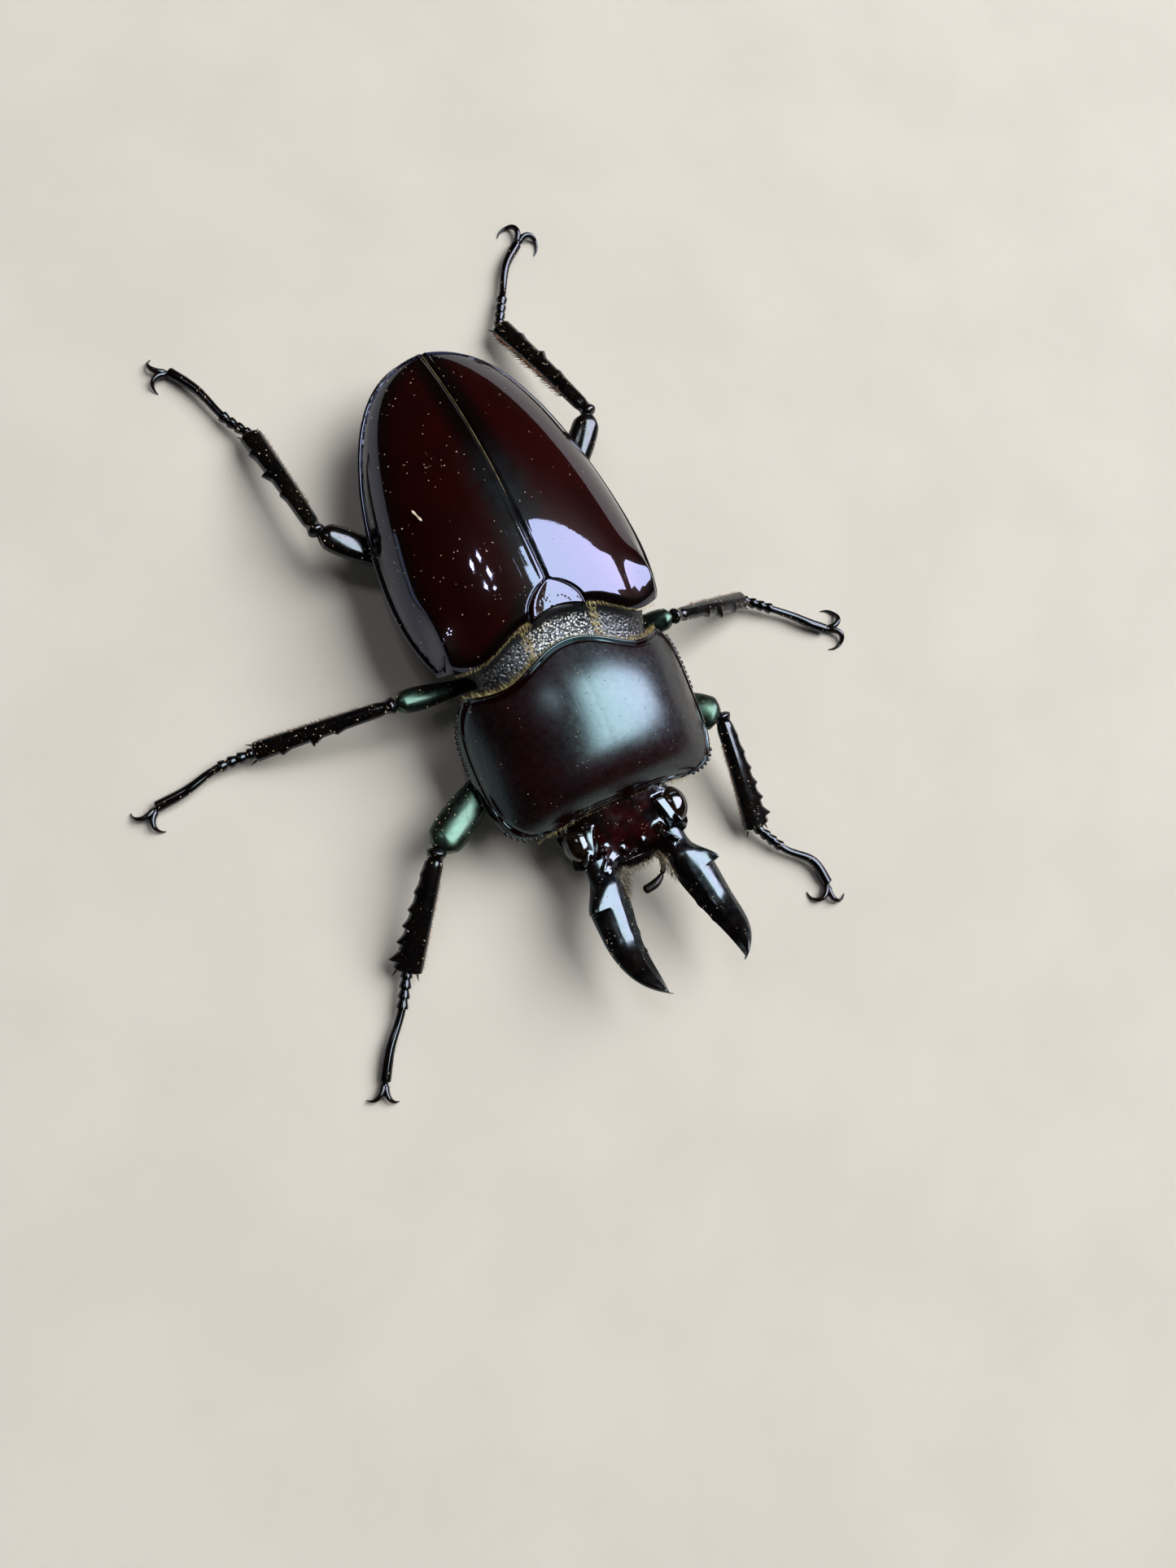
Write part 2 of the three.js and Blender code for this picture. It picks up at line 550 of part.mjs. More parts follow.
// The left palp reaches in across the mouth, and the right one lies out under its mandible.
const PALPS = {
  left: [[1.9, -22.4, 3.9], [1.8, -23.8, 4.3], [1.2, -24.5, 4.5], [0.1, -24.8, 4.5], [-0.9, -24.9, 4.4]],
  right: [[-1.9, -22.4, 3.9], [-2.2, -23.6, 3.9], [-2.7, -24.5, 3.8], [-3.4, -26.2, 3.6]],
};
function palp(name) {
  const radii = (s) => [0.06, 0.04].map((swell) => 0.25 + swell * Math.sin(Math.PI * s) ** 2);
  return limb(curveThrough(PALPS[name]), spread(0, 1, 6), radii, 6);
}
function mentum() {
  const top = (u, v) => [u * (1.9 - 0.5 * v), -19.6 - 2.4 * v, HEAD.bottomZ - 0.08];
  const bottom = (u, v) => [u * (1.7 - 0.5 * v), -19.7 - 2.2 * v, HEAD.bottomZ - 0.6 + 0.25 * u * u];
  return shell(top, bottom, spread(-1, 1, 5), spread(0, 1, 3));
}
function labrum() {
  const top = (u, v) => [u * (1.5 - 0.3 * v), -22.35 - 1.1 * v, 4.95 - 0.25 * v];
  const bottom = (u, v) => [u * (1.4 - 0.4 * v), -22.35 - 1.0 * v, 4.35 - 0.1 * v];
  return shell(top, bottom, spread(-1, 1, 5), spread(0, 1, 3));
}

// ---------------------------------------------------------------- shins and feet

function kneeToAnkle(leg) {
  const [knee, ankle] = [vector(leg.knee), vector(leg.ankle)];
  const along = ankle.clone().sub(knee).normalize();
  const start = knee.clone().addScaledVector(along, 0.5);
  const middle = start.clone().lerp(ankle, 0.5);
  middle.z += 0.18;
  return new THREE.CatmullRomCurve3([start, middle, ankle], false, 'centripetal');
}
function tibia(leg) {
  const [narrow, broad, deep] = LIMB[leg.kind].tibia;
  const path = kneeToAnkle(leg);
  const radii = (s) => {
    const wide = lerp(narrow, broad, s ** 1.2);
    const ends = Math.min(1, Math.sqrt(Math.min(s, 1 - s) / 0.05 + 0.2));
    return [wide * ends, deep * lerp(0.95, 1.05, s) * ends];
  };
  const shaft = limb(path, [0, 0.08, 0.35, 0.65, 0.93, 1], radii, 6);
  const spines = LIMB[leg.kind].spines.map((s) => tibiaSpine(leg, path, s, lerp(narrow, broad, s ** 1.2)));
  const spurs = [-1, 1].map((across) => endSpur(path, across * broad * 0.62));
  return join([shaft, ...spines, ...spurs]);
}
// A tooth on the outer edge of the shin, pointing out and towards the foot.
function tibiaSpine(leg, path, s, wide) {
  const centre = path.getPointAt(s);
  const ahead = path.getTangentAt(s);
  const across = new THREE.Vector3().crossVectors(ahead, UP).normalize();
  across.multiplyScalar(mirrorSign(leg) * (leg.kind === 'front' ? -1 : 1));
  const root = centre.clone().addScaledVector(across, wide * 0.45);
  const length = leg.kind === 'front' ? 1.0 : 0.7;
  const tip = centre.clone().addScaledVector(across, wide + 0.62 * length);
  tip.addScaledVector(ahead, 0.55 * length);
  return limb(new THREE.LineCurve3(root, tip), [0, 1], (at) => [0.42 - 0.16 * at, 0.34 - 0.08 * at], 5);
}
function endSpur(path, offset) {
  const ahead = path.getTangentAt(1);
  const across = new THREE.Vector3().crossVectors(ahead, UP).normalize();
  const root = path.getPointAt(0.94).addScaledVector(across, offset * 0.8);
  const tip = path.getPointAt(1).addScaledVector(ahead, 0.25).addScaledVector(across, offset * 1.6);
  return limb(new THREE.LineCurve3(root, tip), [0, 1], () => [0.27, 0.25], 5);
}

function tarsusCurve(leg) {
  const [ankle, toe, foot] = [leg.ankle, leg.toe, leg.foot].map(vector);
  const start = ankle.clone().lerp(toe, 0.21);
  const across = new THREE.Vector3().crossVectors(foot.clone().sub(toe), UP).normalize();
  const middle = toe.clone().lerp(foot, 0.55).addScaledVector(across, leg.bow);
  middle.z += 0.12;
  const shortOfFoot = foot.clone().lerp(middle, 0.12);
  return new THREE.CatmullRomCurve3([start, toe, middle, shortOfFoot], false, 'centripetal');
}
// Four short joints like beads, then one long joint that widens towards the claws.
function tarsus(leg) {
  const path = tarsusCurve(leg);
  const shortShare = 0.36;
  const stations = [];
  for (let joint = 0; joint < TARSUS.joints; joint++) {
    stations.push(...[0.04, 0.8].map((part) => (shortShare * (joint + part)) / TARSUS.joints));
  }
  stations.push(shortShare + 0.02, 0.6, 0.85, 1);
  const radii = (s) => {
    if (s < shortShare) {
      const part = ((s / shortShare) * TARSUS.joints) % 1;
      const radius = lerp(TARSUS.neck, TARSUS.radius, smooth(part, 0.02, 0.8));
      return [radius, radius];
    }
    const radius = lerp(TARSUS.neck, TARSUS.radius * 0.9, smooth(s, shortShare, 0.98));
    return [radius, radius];
  };
  return limb(path, stations, radii, 6);
}
// Two hooked claws from one knob, spread to both sides and lying along the floor.
function claws(leg) {
  const turn = THREE.MathUtils.degToRad(leg.clawTurn);
  const end = tarsusCurve(leg).getTangentAt(1).setZ(0).normalize().applyAxisAngle(UP, turn);
  const across = new THREE.Vector3().crossVectors(end, UP).normalize();
  const foot = vector(leg.foot).addScaledVector(end, 0.35);
  const knob = ellipsoid([foot.x, foot.y, 0.36], [0.34, 0.34, 0.32], 6, 4);
  const hooks = [-1, 1].map((side) => {
    const points = spread(0, leg.clawHook, 6).map((angle) => {
      const point = foot.clone().addScaledVector(end, CLAW.reach * Math.sin(angle));
      point.addScaledVector(across, side * (0.1 + CLAW.spread * (1 - Math.cos(angle))));
      return point.setZ(CLAW.height + 0.3 * Math.sin(Math.min(angle * 1.5, Math.PI))).toArray();
    });
    const radii = (s) => {
      const radius = lerp(CLAW.radius, CLAW.tipRadius, s);
      return [radius, radius + 0.04];
    };
    return limb(curveThrough(points), spread(0, 1, 5), radii, 5);
  });
  return join([knob, ...hooks]);
}

// ---------------------------------------------------------------- putting it together

add('head', head(), HEAD_FINISH);
add('mentum', mentum(), BELLY_FINISH);
add('labrum', labrum(), PALP_FINISH);
add('pronotum', pronotum(), PRONOTUM_FINISH);
add('prothorax', prothorax(), BELLY_FINISH);
add('collar', collar(), COLLAR_FINISH);
add('scutellum', scutellum(), ELYTRA_FINISH);
add('metathorax', metathorax(), BELLY_FINISH);
for (let index = 0; index < ABDOMEN.segments; index++) {
  add(`abdomen_${index + 1}`, bellyPlate(index), BELLY_FINISH);
}
for (const [name, side] of SIDES) {
  add(`elytron_${name}`, elytron(side), ELYTRA_FINISH);
  add(`eye_${name}`, eye(side), EYE_FINISH);
  add(`mandible_${name}`, mandible(name, side), MANDIBLE_FINISH);
  add(`antenna_scape_${name}`, antennaScape(side), LEG_FINISH);
  add(`antenna_club_${name}`, antennaClub(side), LEG_FINISH);
  add(`palp_${name}`, palp(name), PALP_FINISH);
}
for (const [name, leg] of Object.entries(LEGS)) {
  add(`coxa_${name}`, coxa(leg), LEG_FINISH);
  add(`femur_${name}`, femur(leg), LEG_FINISH);
  add(`tibia_${name}`, tibia(leg), LEG_FINISH);
  add(`tarsus_${name}`, tarsus(leg), LEG_FINISH);
  add(`claws_${name}`, claws(leg), LEG_FINISH);
}

const box = new THREE.Box3().setFromObject(beetle);
const centre = box.getCenter(new THREE.Vector3());
beetle.position.set(-centre.x, -centre.y, -box.min.z);

export default beetle;
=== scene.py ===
# %% [markdown]
# # A life-size stag beetle for a museum shelf
#
# This lesson finishes a still model of a small male stag beetle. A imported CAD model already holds
# every piece at its real size and place, and here each piece gets its fine surface, its lacquer,
# its pits and its bristles. The beetle stands on a pale floor, with its head towards -Y and its
# left side towards +X.

# %% Load the frame
import math

import bmesh
import bpy
import numpy as np
from mathutils import Matrix, Vector


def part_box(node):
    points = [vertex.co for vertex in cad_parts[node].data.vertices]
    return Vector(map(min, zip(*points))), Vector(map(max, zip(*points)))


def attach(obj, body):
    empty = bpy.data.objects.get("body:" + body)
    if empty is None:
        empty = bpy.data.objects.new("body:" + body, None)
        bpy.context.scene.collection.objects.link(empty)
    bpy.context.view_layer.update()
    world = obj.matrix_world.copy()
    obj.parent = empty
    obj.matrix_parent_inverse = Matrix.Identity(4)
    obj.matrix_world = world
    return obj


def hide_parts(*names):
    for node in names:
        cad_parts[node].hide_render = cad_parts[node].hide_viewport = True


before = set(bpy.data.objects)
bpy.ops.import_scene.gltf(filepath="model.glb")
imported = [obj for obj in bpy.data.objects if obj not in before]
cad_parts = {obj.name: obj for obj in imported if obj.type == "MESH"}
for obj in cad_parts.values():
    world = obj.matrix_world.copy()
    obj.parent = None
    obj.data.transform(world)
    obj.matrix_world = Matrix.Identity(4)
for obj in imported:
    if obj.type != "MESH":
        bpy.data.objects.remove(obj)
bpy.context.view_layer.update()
print("nodes in the frame:", len(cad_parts))

# %% [markdown]
# ## One body frame
#
# A beetle is easiest to describe in millimetres from one landmark. The landmark here is the point
# on the floor below the tip of the scutellum, the small triangle between the wing cases. The
# scutellum's CAD box says where that is in the frame, so every formula below can be written in
# body millimetres and turned into metres in the frame by one function.

# %% From body millimetres to frame metres
MM = 0.001
SCUTELLUM_END = 0.12
scutellum_low, scutellum_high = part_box("scutellum")
BODY_ORIGIN = np.array([
    (scutellum_low.x + scutellum_high.x) / 2, scutellum_high.y + SCUTELLUM_END * MM, 0.0,
])


def in_frame(points):
    """Points in body millimetres as an array of points in frame metres."""
    return np.asarray(points, float) * MM + BODY_ORIGIN


print("body origin in mm:", np.round(BODY_ORIGIN / MM, 2))

# %% [markdown]
# ## Camera, light and floor
#
# The camera comes first, because every later choice is judged through it. It looks steeply down
# on the beetle from its right side, turned so that the head points down and to the right. A
# position, a point to look at and the compass direction that is up in the picture are enough to
# fix it, and they are easier to read than three angles.

# %% Camera
CAMERA_PLACE = (-29.47, -23.03, 96.16)
CAMERA_AIM = (-1.47, -15.26, 5.0)
PICTURE_UP_DEGREES = 24.53
SENSOR_MM = 36.0
LENS_MM = 27.09


def link(obj):
    """The object, put in the scene."""
    bpy.context.scene.collection.objects.link(obj)
    return obj


def turned_to(place, aim, up):
    """A camera's matrix at place, looking at aim, with up as nearly upright as it can be."""
    back = (Vector(place) - Vector(aim)).normalized()
    right = Vector(up).cross(back).normalized()
    turn = Matrix((right, back.cross(right), back)).transposed()
    return Matrix.Translation(Vector(place)) @ turn.to_4x4()


lens = bpy.data.cameras.new("camera")
lens.sensor_width = SENSOR_MM
lens.lens = LENS_MM
lens.clip_start = 1 * MM
lens.clip_end = 50.0
camera = link(bpy.data.objects.new("camera", lens))
turn = math.radians(PICTURE_UP_DEGREES)
camera.matrix_world = turned_to(
    in_frame(CAMERA_PLACE), in_frame(CAMERA_AIM), (math.sin(turn), math.cos(turn), 0))
bpy.context.scene.camera = camera
print("camera stands", round(camera.location.z / MM), "mm above the floor")

# %% [markdown]
# A glossy black insect is drawn by what it reflects, so the lights are made for their shapes. A
# large skylight over the beetle's left side gives the hard lilac patch on the wing cases and the
# soft round glow on the satin pronotum. It is a row of nine lying panes whose colour drifts from
# green to lilac, and they show only in gloss; a warm white panel in the same direction lights the
# matt surfaces, so that the floor and the dust keep their own colours. Five small lamps behind the
# right shoulder add the white sparks, and a low strip on the right draws a thin line along that
# side. The sky is even and dim, so that shadows are soft and black still stays black.

# %% Lights
BODY_CENTRE = (0, -6, 8)


def panel(name, heading, height, distance, width, length, glow, colour, matt=True, gloss=True):
    """A rectangular lamp that faces the beetle: heading 0 is ahead of it, 90 on its left.
    It lights matt surfaces, shows in glossy ones, or both."""
    lamp = bpy.data.lights.new(name, "AREA")
    lamp.shape = "RECTANGLE"
    lamp.size = width
    lamp.size_y = length
    lamp.color = colour
    lamp.energy = glow * math.pi * width * length
    around, up = math.radians(heading), math.radians(height)
    way = Vector((math.sin(around) * math.cos(up), -math.cos(around) * math.cos(up), math.sin(up)))
    place = Vector(in_frame(BODY_CENTRE)) + way * distance
    obj = link(bpy.data.objects.new(name, lamp))
    obj.matrix_world = turned_to(place, in_frame(BODY_CENTRE), (0, 0, 1))
    obj.visible_diffuse = matt
    obj.visible_glossy = gloss
    return obj


def pane(name, left, right, front, rear, glow, colour):
    """A lying pane 1 m above the beetle that shows only in gloss. Its edges are given in metres
    from the point above the beetle: to its left and right, and to its front and rear."""
    obj = panel(name, 0, 90, 1.0, left - right, front + rear, glow, colour, matt=False)
    centre = Vector(in_frame(BODY_CENTRE)) + Vector(((left + right) / 2, (rear - front) / 2, 1.0))
    obj.matrix_world = Matrix.Translation(centre)


SILLS = (0.23, 0.27, 0.31, 0.36, 0.42, 0.60, 0.83, 1.13, 1.58, 2.30)
WINDOW = {"glow": 15.5, "front": 0.54, "rear": 0.52, "rear_corner": 0.30, "taper_from": 0.83}
NEAR_TINT, FAR_TINT = (0.88, 1.0, 0.95), (0.94, 0.83, 1.0)
LAMP_WAYS = ((204, 65), (217, 62), (202, 70), (219, 69), (211, 74))
LAMP_SIZE = 0.055

for number, (right, left) in enumerate(zip(SILLS, SILLS[1:])):
    lilac = number / (len(SILLS) - 2)
    front = WINDOW["front"] - 0.25 * max(left - WINDOW["taper_from"], 0)
    rear = min(WINDOW["rear"], WINDOW["rear_corner"] + 2 * (right - SILLS[0]))
    colour = tuple((1 - lilac) * near + lilac * far for near, far in zip(NEAR_TINT, FAR_TINT))
    pane(f"pane_{number}", left, right, front, rear, WINDOW["glow"], colour)
panel("daylight", heading=96, height=51, distance=1.6, width=1.30, length=1.42, glow=6.6,
      colour=(1.0, 0.965, 0.90), gloss=False)
panel("skyline", heading=268, height=3.2, distance=2.0, width=2.6, length=0.16, glow=0.8,
      colour=(0.78, 0.90, 1.0), matt=False)
for number, (heading, height) in enumerate(LAMP_WAYS):
    panel(f"lamp_{number}", heading, height, distance=1.6, width=LAMP_SIZE, length=LAMP_SIZE,
          glow=36.0, colour=(1.0, 0.93, 0.99))

world = bpy.data.worlds.new("studio")
bpy.context.scene.world = world
world.use_nodes = True
sky = world.node_tree.nodes["Background"].inputs
sky["Color"].default_value = (0.90, 0.88, 0.80, 1)
sky["Strength"].default_value = 0.06
world.cycles_visibility.glossy = False
bpy.context.scene.view_settings.view_transform = "Standard"

# %% [markdown]
# ## A small kit for nodes
#
# Materials and Geometry Nodes are both node trees, so one short function that adds a node, sets
# it and links it serves for both. Its inputs are found by name or by number, and a socket given
# as a value becomes a link.

# %% Adding nodes


def socket_of(sockets, key):
    """The socket with that number, or the one in use with that name."""
    if isinstance(key, int):
        return sockets[key]
    return next(socket for socket in sockets if socket.name == key and socket.enabled)


def out(made, key=0):
    return socket_of(made.outputs, key)


def node(tree, kind, inputs=None, **settings):
    """A new node of the tree with its settings and inputs."""
    made = tree.nodes.new(kind)
    for setting, value in settings.items():
        setattr(made, setting, value)
    for key, value in (inputs or {}).items():
        target = socket_of(made.inputs, key)
        if isinstance(value, bpy.types.NodeSocket):
            tree.links.new(value, target)
        else:
            target.default_value = value
    return made


def maths(tree, operation, first, second=0.0):
    return out(node(tree, "ShaderNodeMath", {0: first, 1: second}, operation=operation))


def times(tree, first, second):
    return maths(tree, "MULTIPLY", first, second)


print("node kit ready")

# %% [markdown]
# ## Finishes
#
# Beetle shell is dark cuticle under a clear wax, so most finishes are a nearly black base with a
# soft sheen and, where the real one is polished, a sharp clear coat over it. All patterns are
# worked out from Object coordinates, which here are metres in the frame, so a grain of 0.3 mm has
# a scale of one over 0.3 mm. Three helpers give a noise, a spread of its values and a bump.

# %% Pieces of a finish


def finish(name, colour, roughness, **sockets):
    """A material whose shader has these plain values; words are joined by _ in their names."""
    material = bpy.data.materials.new(name)
    material.use_nodes = True
    material.diffuse_color = (*colour, 1)
    shader = material.node_tree.nodes["Principled BSDF"]
    shader.inputs["Base Color"].default_value = (*colour, 1)
    shader.inputs["Roughness"].default_value = roughness
    for label, value in sockets.items():
        socket = shader.inputs[label.replace("_", " ")]
        socket.default_value = (*value, 1) if isinstance(value, tuple) else value
    return material


def noise(material, size, detail=3.0, stretch=(1, 1, 1), turn=(0, 0, 0)):
    """Noise of about this grain in mm, from 0 to 1, longer where stretch is larger."""
    tree = material.node_tree
    place = out(node(tree, "ShaderNodeTexCoord"), "Object")
    scale = tuple(1 / (size * MM * long) for long in stretch)
    mapping = node(tree, "ShaderNodeMapping", {"Vector": place, "Rotation": turn, "Scale": scale})
    return out(node(tree, "ShaderNodeTexNoise", {
        "Vector": out(mapping), "Scale": 1.0, "Detail": detail}))


def cells(material, size):
    """Distance to the nearest of many scattered points about this far apart in mm."""
    tree = material.node_tree
    place = out(node(tree, "ShaderNodeTexCoord"), "Object")
    return out(node(tree, "ShaderNodeTexVoronoi", {"Vector": place, "Scale": 1 / (size * MM)}))


def spread(material, value, low, high, to_low=0.0, to_high=1.0):
    """The value with low to high stretched over another range, and held at its ends."""
    return out(node(material.node_tree, "ShaderNodeMapRange", {
        "Value": value, "From Min": low, "From Max": high, "To Min": to_low, "To Max": to_high,
    }, interpolation_type="SMOOTHSTEP"))


def mixed(material, share, first, second):
    """A colour between two, which are colours or sockets."""
    first, second = [(*c, 1) if isinstance(c, tuple) else c for c in (first, second)]
    inputs = {"Factor": share, "A": first, "B": second}
    return out(node(material.node_tree, "ShaderNodeMix", inputs, data_type="RGBA"), "Result")


def attribute(material, name):
    return out(node(material.node_tree, "ShaderNodeAttribute", attribute_name=name), "Fac")


def larger(material, first, second):
    return maths(material.node_tree, "MAXIMUM", first, second)


def set_finish(material, label, value):
    """Links a value to one of the sockets of the material's shader."""
    shader = material.node_tree.nodes["Principled BSDF"]
    material.node_tree.links.new(value, shader.inputs[label])


def bumped(material, *layers):
    """Bumps in a row, each a height and its depth in mm, on the base and the coat."""
    tree = material.node_tree
    normal = None
    for height, depth in layers:
        inputs = {"Height": height, "Strength": 1.0, "Distance": depth * MM}
        if normal is not None:
            inputs["Normal"] = normal
        normal = out(node(tree, "ShaderNodeBump", inputs))
    set_finish(material, "Normal", normal)
    set_finish(material, "Coat Normal", normal)


print("finish kit ready")

# %% [markdown]
# ## Lacquered wing cases
#
# The wing cases are a deep mahogany red that only shows where light gets into them; towards the
# suture and the margins they are black. On each side of the suture a blue-grey sheen is painted
# into the colour, in patches: a painted reflection. Two gloss layers lie on that colour: a blurred
# one in the wax, which leaves a faint haze along the middle, and a mirror in the cuticle, whose
# many thin layers give it a violet cast. A mirror on a living thing is never quite flat, so it gets
# a very shallow ripple and a few hair scratches that fray the edge of each reflection.

# %% Finish of the wing cases and scutellum
MAHOGANY = (0.0165, 0.0014, 0.0011)
NEAR_BLACK = (0.0030, 0.0010, 0.0013)
# Painted reflection: the blue-grey of a sheen, mixed into the colour beside the suture.
PAINTED_SHEEN_TINT = (0.0120, 0.0150, 0.0180)

wing_case = finish(
    "wing case lacquer", MAHOGANY, 0.03, IOR=1.62, Specular_Tint=(0.58, 0.66, 1.0),
    Coat_Weight=0.09, Coat_Roughness=0.30, Coat_IOR=1.5)
darker = spread(wing_case, attribute(wing_case, "edge"), 0.15, 1.0)
cloud = spread(wing_case, noise(wing_case, 5.0), 0.35, 0.7, 0.0, 0.35)
red_to_black = mixed(wing_case, larger(wing_case, darker, cloud), MAHOGANY, NEAR_BLACK)
# Painted reflection: how strongly the blue-grey sheen is painted, in patches along the suture.
sheen_share = spread(wing_case, noise(wing_case, 1.4, 4.0), 0.25, 0.70, 0.35, 1.0)
bloom = times(wing_case.node_tree, attribute(wing_case, "bloom"), sheen_share)
set_finish(wing_case, "Base Color", mixed(wing_case, bloom, red_to_black, PAINTED_SHEEN_TINT))
polish = spread(wing_case, noise(wing_case, 0.8, 4.0), 0.3, 0.7, 0.020, 0.045)
set_finish(wing_case, "Roughness", polish)
scratches = noise(wing_case, 0.09, 2.0, stretch=(1, 40, 1), turn=(0, 0, 0.5))
scratches = spread(wing_case, scratches, 0.70, 0.78)
bumped(
    wing_case,
    (noise(wing_case, 3.2, 2.0), 0.010),
    (noise(wing_case, 0.30, 3.0), 0.0011),
    (scratches, 0.0012))
print(wing_case.name, "nodes:", len(wing_case.node_tree.nodes))

# %% [markdown]
# ## Satin pronotum
#
# The shield behind the head has a microscopic network of cells that scatters the light: it glows
# where the wing cases mirror. It has no clear coat, a middling roughness, a cool tint in its gloss
# and the fine hairlines that a beetle gets from pushing under bark. Its rim is worn smooth.

# %% Finish of the pronotum
PLUM = (0.0130, 0.0012, 0.0020)
UMBER = (0.0070, 0.0010, 0.0013)

pronotum_satin = finish(
    "pronotum satin", PLUM, 0.24, IOR=1.64, Specular_Tint=(0.58, 0.88, 0.97))
cloud = spread(pronotum_satin, noise(pronotum_satin, 4.0), 0.35, 0.65)
darker = spread(pronotum_satin, attribute(pronotum_satin, "edge"), 0.4, 1.0)
share = larger(pronotum_satin, darker, cloud)
set_finish(pronotum_satin, "Base Color", mixed(pronotum_satin, share, PLUM, UMBER))
polish = spread(pronotum_satin, noise(pronotum_satin, 0.5, 5.0), 0.25, 0.75, 0.245, 0.305)
rim_polish = spread(pronotum_satin, attribute(pronotum_satin, "edge"), 0.80, 0.92, 0.0, 0.22)
polish = maths(pronotum_satin.node_tree, "SUBTRACT", polish, rim_polish)
set_finish(pronotum_satin, "Roughness", polish)
hairlines = noise(pronotum_satin, 0.12, 2.0, stretch=(1, 22, 1), turn=(0, 0, -0.35))
hairlines = spread(pronotum_satin, hairlines, 0.64, 0.74)
pinholes = spread(pronotum_satin, cells(pronotum_satin, 0.62), 0.04, 0.13)
bumped(
    pronotum_satin,
    (noise(pronotum_satin, 0.05, 2.0), 0.0012),
    (hairlines, 0.0016),
    (pinholes, 0.010))
print(pronotum_satin.name, "nodes:", len(pronotum_satin.node_tree.nodes))

# %% [markdown]
# ## Head, mandibles and legs
#
# These are the hard-worked tools of the animal and the blackest parts of it. The head is dark red
# in the middle. The mandibles and legs are polished by use but hold dust in every pit, so their
# roughness goes up in patches and a pale film lies in the hollows.

# %% Finishes of the hard black parts
DUST_FILM = (0.30, 0.25, 0.18)


def black_polish(name, colour, other, roughness, coat, tint, dust):
    """Polished black cuticle, of two near colours, with a dusty film over a share of it.
    The other colour takes over where a piece's attribute edge is 1."""
    material = finish(
        name, colour, roughness, IOR=1.6, Specular_Tint=tint, Coat_Weight=coat, Coat_Roughness=0.07)
    patches = spread(material, noise(material, 1.6, 4.0), 0.40, 0.62)
    patches = larger(material, patches, attribute(material, "edge"))
    body = mixed(material, patches, colour, other)
    film = spread(material, noise(material, 0.22, 6.0), 0.62, 0.74, 0.0, dust)
    set_finish(material, "Base Color", mixed(material, film, body, DUST_FILM))
    scuffed = spread(
        material, noise(material, 0.7, 5.0), 0.35, 0.8, roughness * 0.85, roughness * 1.5)
    set_finish(material, "Roughness", scuffed)
    bumped(material, (noise(material, 0.9, 2.0), 0.006), (noise(material, 0.12, 3.0), 0.0018))
    return material


head_gloss = black_polish(
    "head cuticle", (0.0190, 0.0012, 0.0012), (0.0030, 0.0012, 0.0012),
    roughness=0.12, coat=0.3, tint=(0.66, 0.86, 1.0), dust=0.03)
mandible_gloss = black_polish(
    "mandible cuticle", (0.0022, 0.0020, 0.0024), (0.0060, 0.0036, 0.0030),
    roughness=0.22, coat=0.15, tint=(0.64, 0.86, 1.0), dust=0.04)
leg_gloss = black_polish(
    "leg cuticle", (0.0024, 0.0020, 0.0022), (0.0050, 0.0034, 0.0028),
    roughness=0.16, coat=0.15, tint=(0.52, 0.60, 0.70), dust=0.14)
foot_gloss = black_polish(
    "foot cuticle", (0.0020, 0.0016, 0.0018), (0.0042, 0.0028, 0.0024),
    roughness=0.09, coat=0.05, tint=(0.42, 0.50, 0.60), dust=0.05)
thigh_satin = black_polish(
    "thigh cuticle", (0.0030, 0.0032, 0.0032), (0.0055, 0.0042, 0.0036),
    roughness=0.30, coat=0.08, tint=(0.52, 1.0, 0.76), dust=0.10)
claw_gloss = black_polish(
    "claw cuticle", (0.0045, 0.0035, 0.0035), (0.012, 0.0045, 0.0028),
    roughness=0.12, coat=0.10, tint=(0.42, 0.50, 0.60), dust=0.04)
belly_satin = black_polish(
    "belly cuticle", (0.0120, 0.0050, 0.0040), (0.0055, 0.0035, 0.0035),
    roughness=0.34, coat=0.15, tint=(0.85, 0.92, 0.95), dust=0.12)
print("polished finishes:", [m.name for m in bpy.data.materials if m.name.endswith("cuticle")])

# %% [markdown]
# ## Collar, eyes, mouthparts, bristles and dust
#
# The collar between pronotum and wing cases is grey and finely netted. The eyes are smooth dark
# domes of thousands of lenses. The palps are nearly black, with a little amber light under the
# surface. Bristles are golden, rust or umber and paler at random, and the dust is crumbs of bark.
# Most of these finishes are a drift between two colours and a fine grain, so one function makes
# them.

# %% Finishes of the small parts


def two_toned(material, size, first, second):
    """The material with its colour drifting between two, in patches of about this size in mm."""
    drift = spread(material, noise(material, size), 0.35, 0.65)
    set_finish(material, "Base Color", mixed(material, drift, first, second))
    return material


def grained(name, plain, roughness, drift, first, second, grain, depth, detail=2.0, **sockets):
    """A two-toned finish with a bumpy grain. Its drift, grain and depth are in mm."""
    material = two_toned(finish(name, plain, roughness, **sockets), drift, first, second)
    bumped(material, (noise(material, grain, detail), depth))
    return material


collar_net = finish(
    "collar net", (0.10, 0.09, 0.085), 0.34, Specular_IOR_Level=0.8,
    Specular_Tint=(0.85, 0.92, 1.0))
meshes = spread(collar_net, cells(collar_net, 0.22), 0.36, 0.46)
meshes = larger(collar_net, meshes, attribute(collar_net, "edge"))
drift = spread(collar_net, noise(collar_net, 0.8), 0.35, 0.65)
bumps = mixed(collar_net, drift, (0.58, 0.66, 0.74), (0.74, 0.74, 0.64))
set_finish(collar_net, "Base Color", mixed(collar_net, meshes, bumps, (0.0045, 0.0040, 0.0038)))
bumped(collar_net, (noise(collar_net, 0.06, 3.0), 0.004))

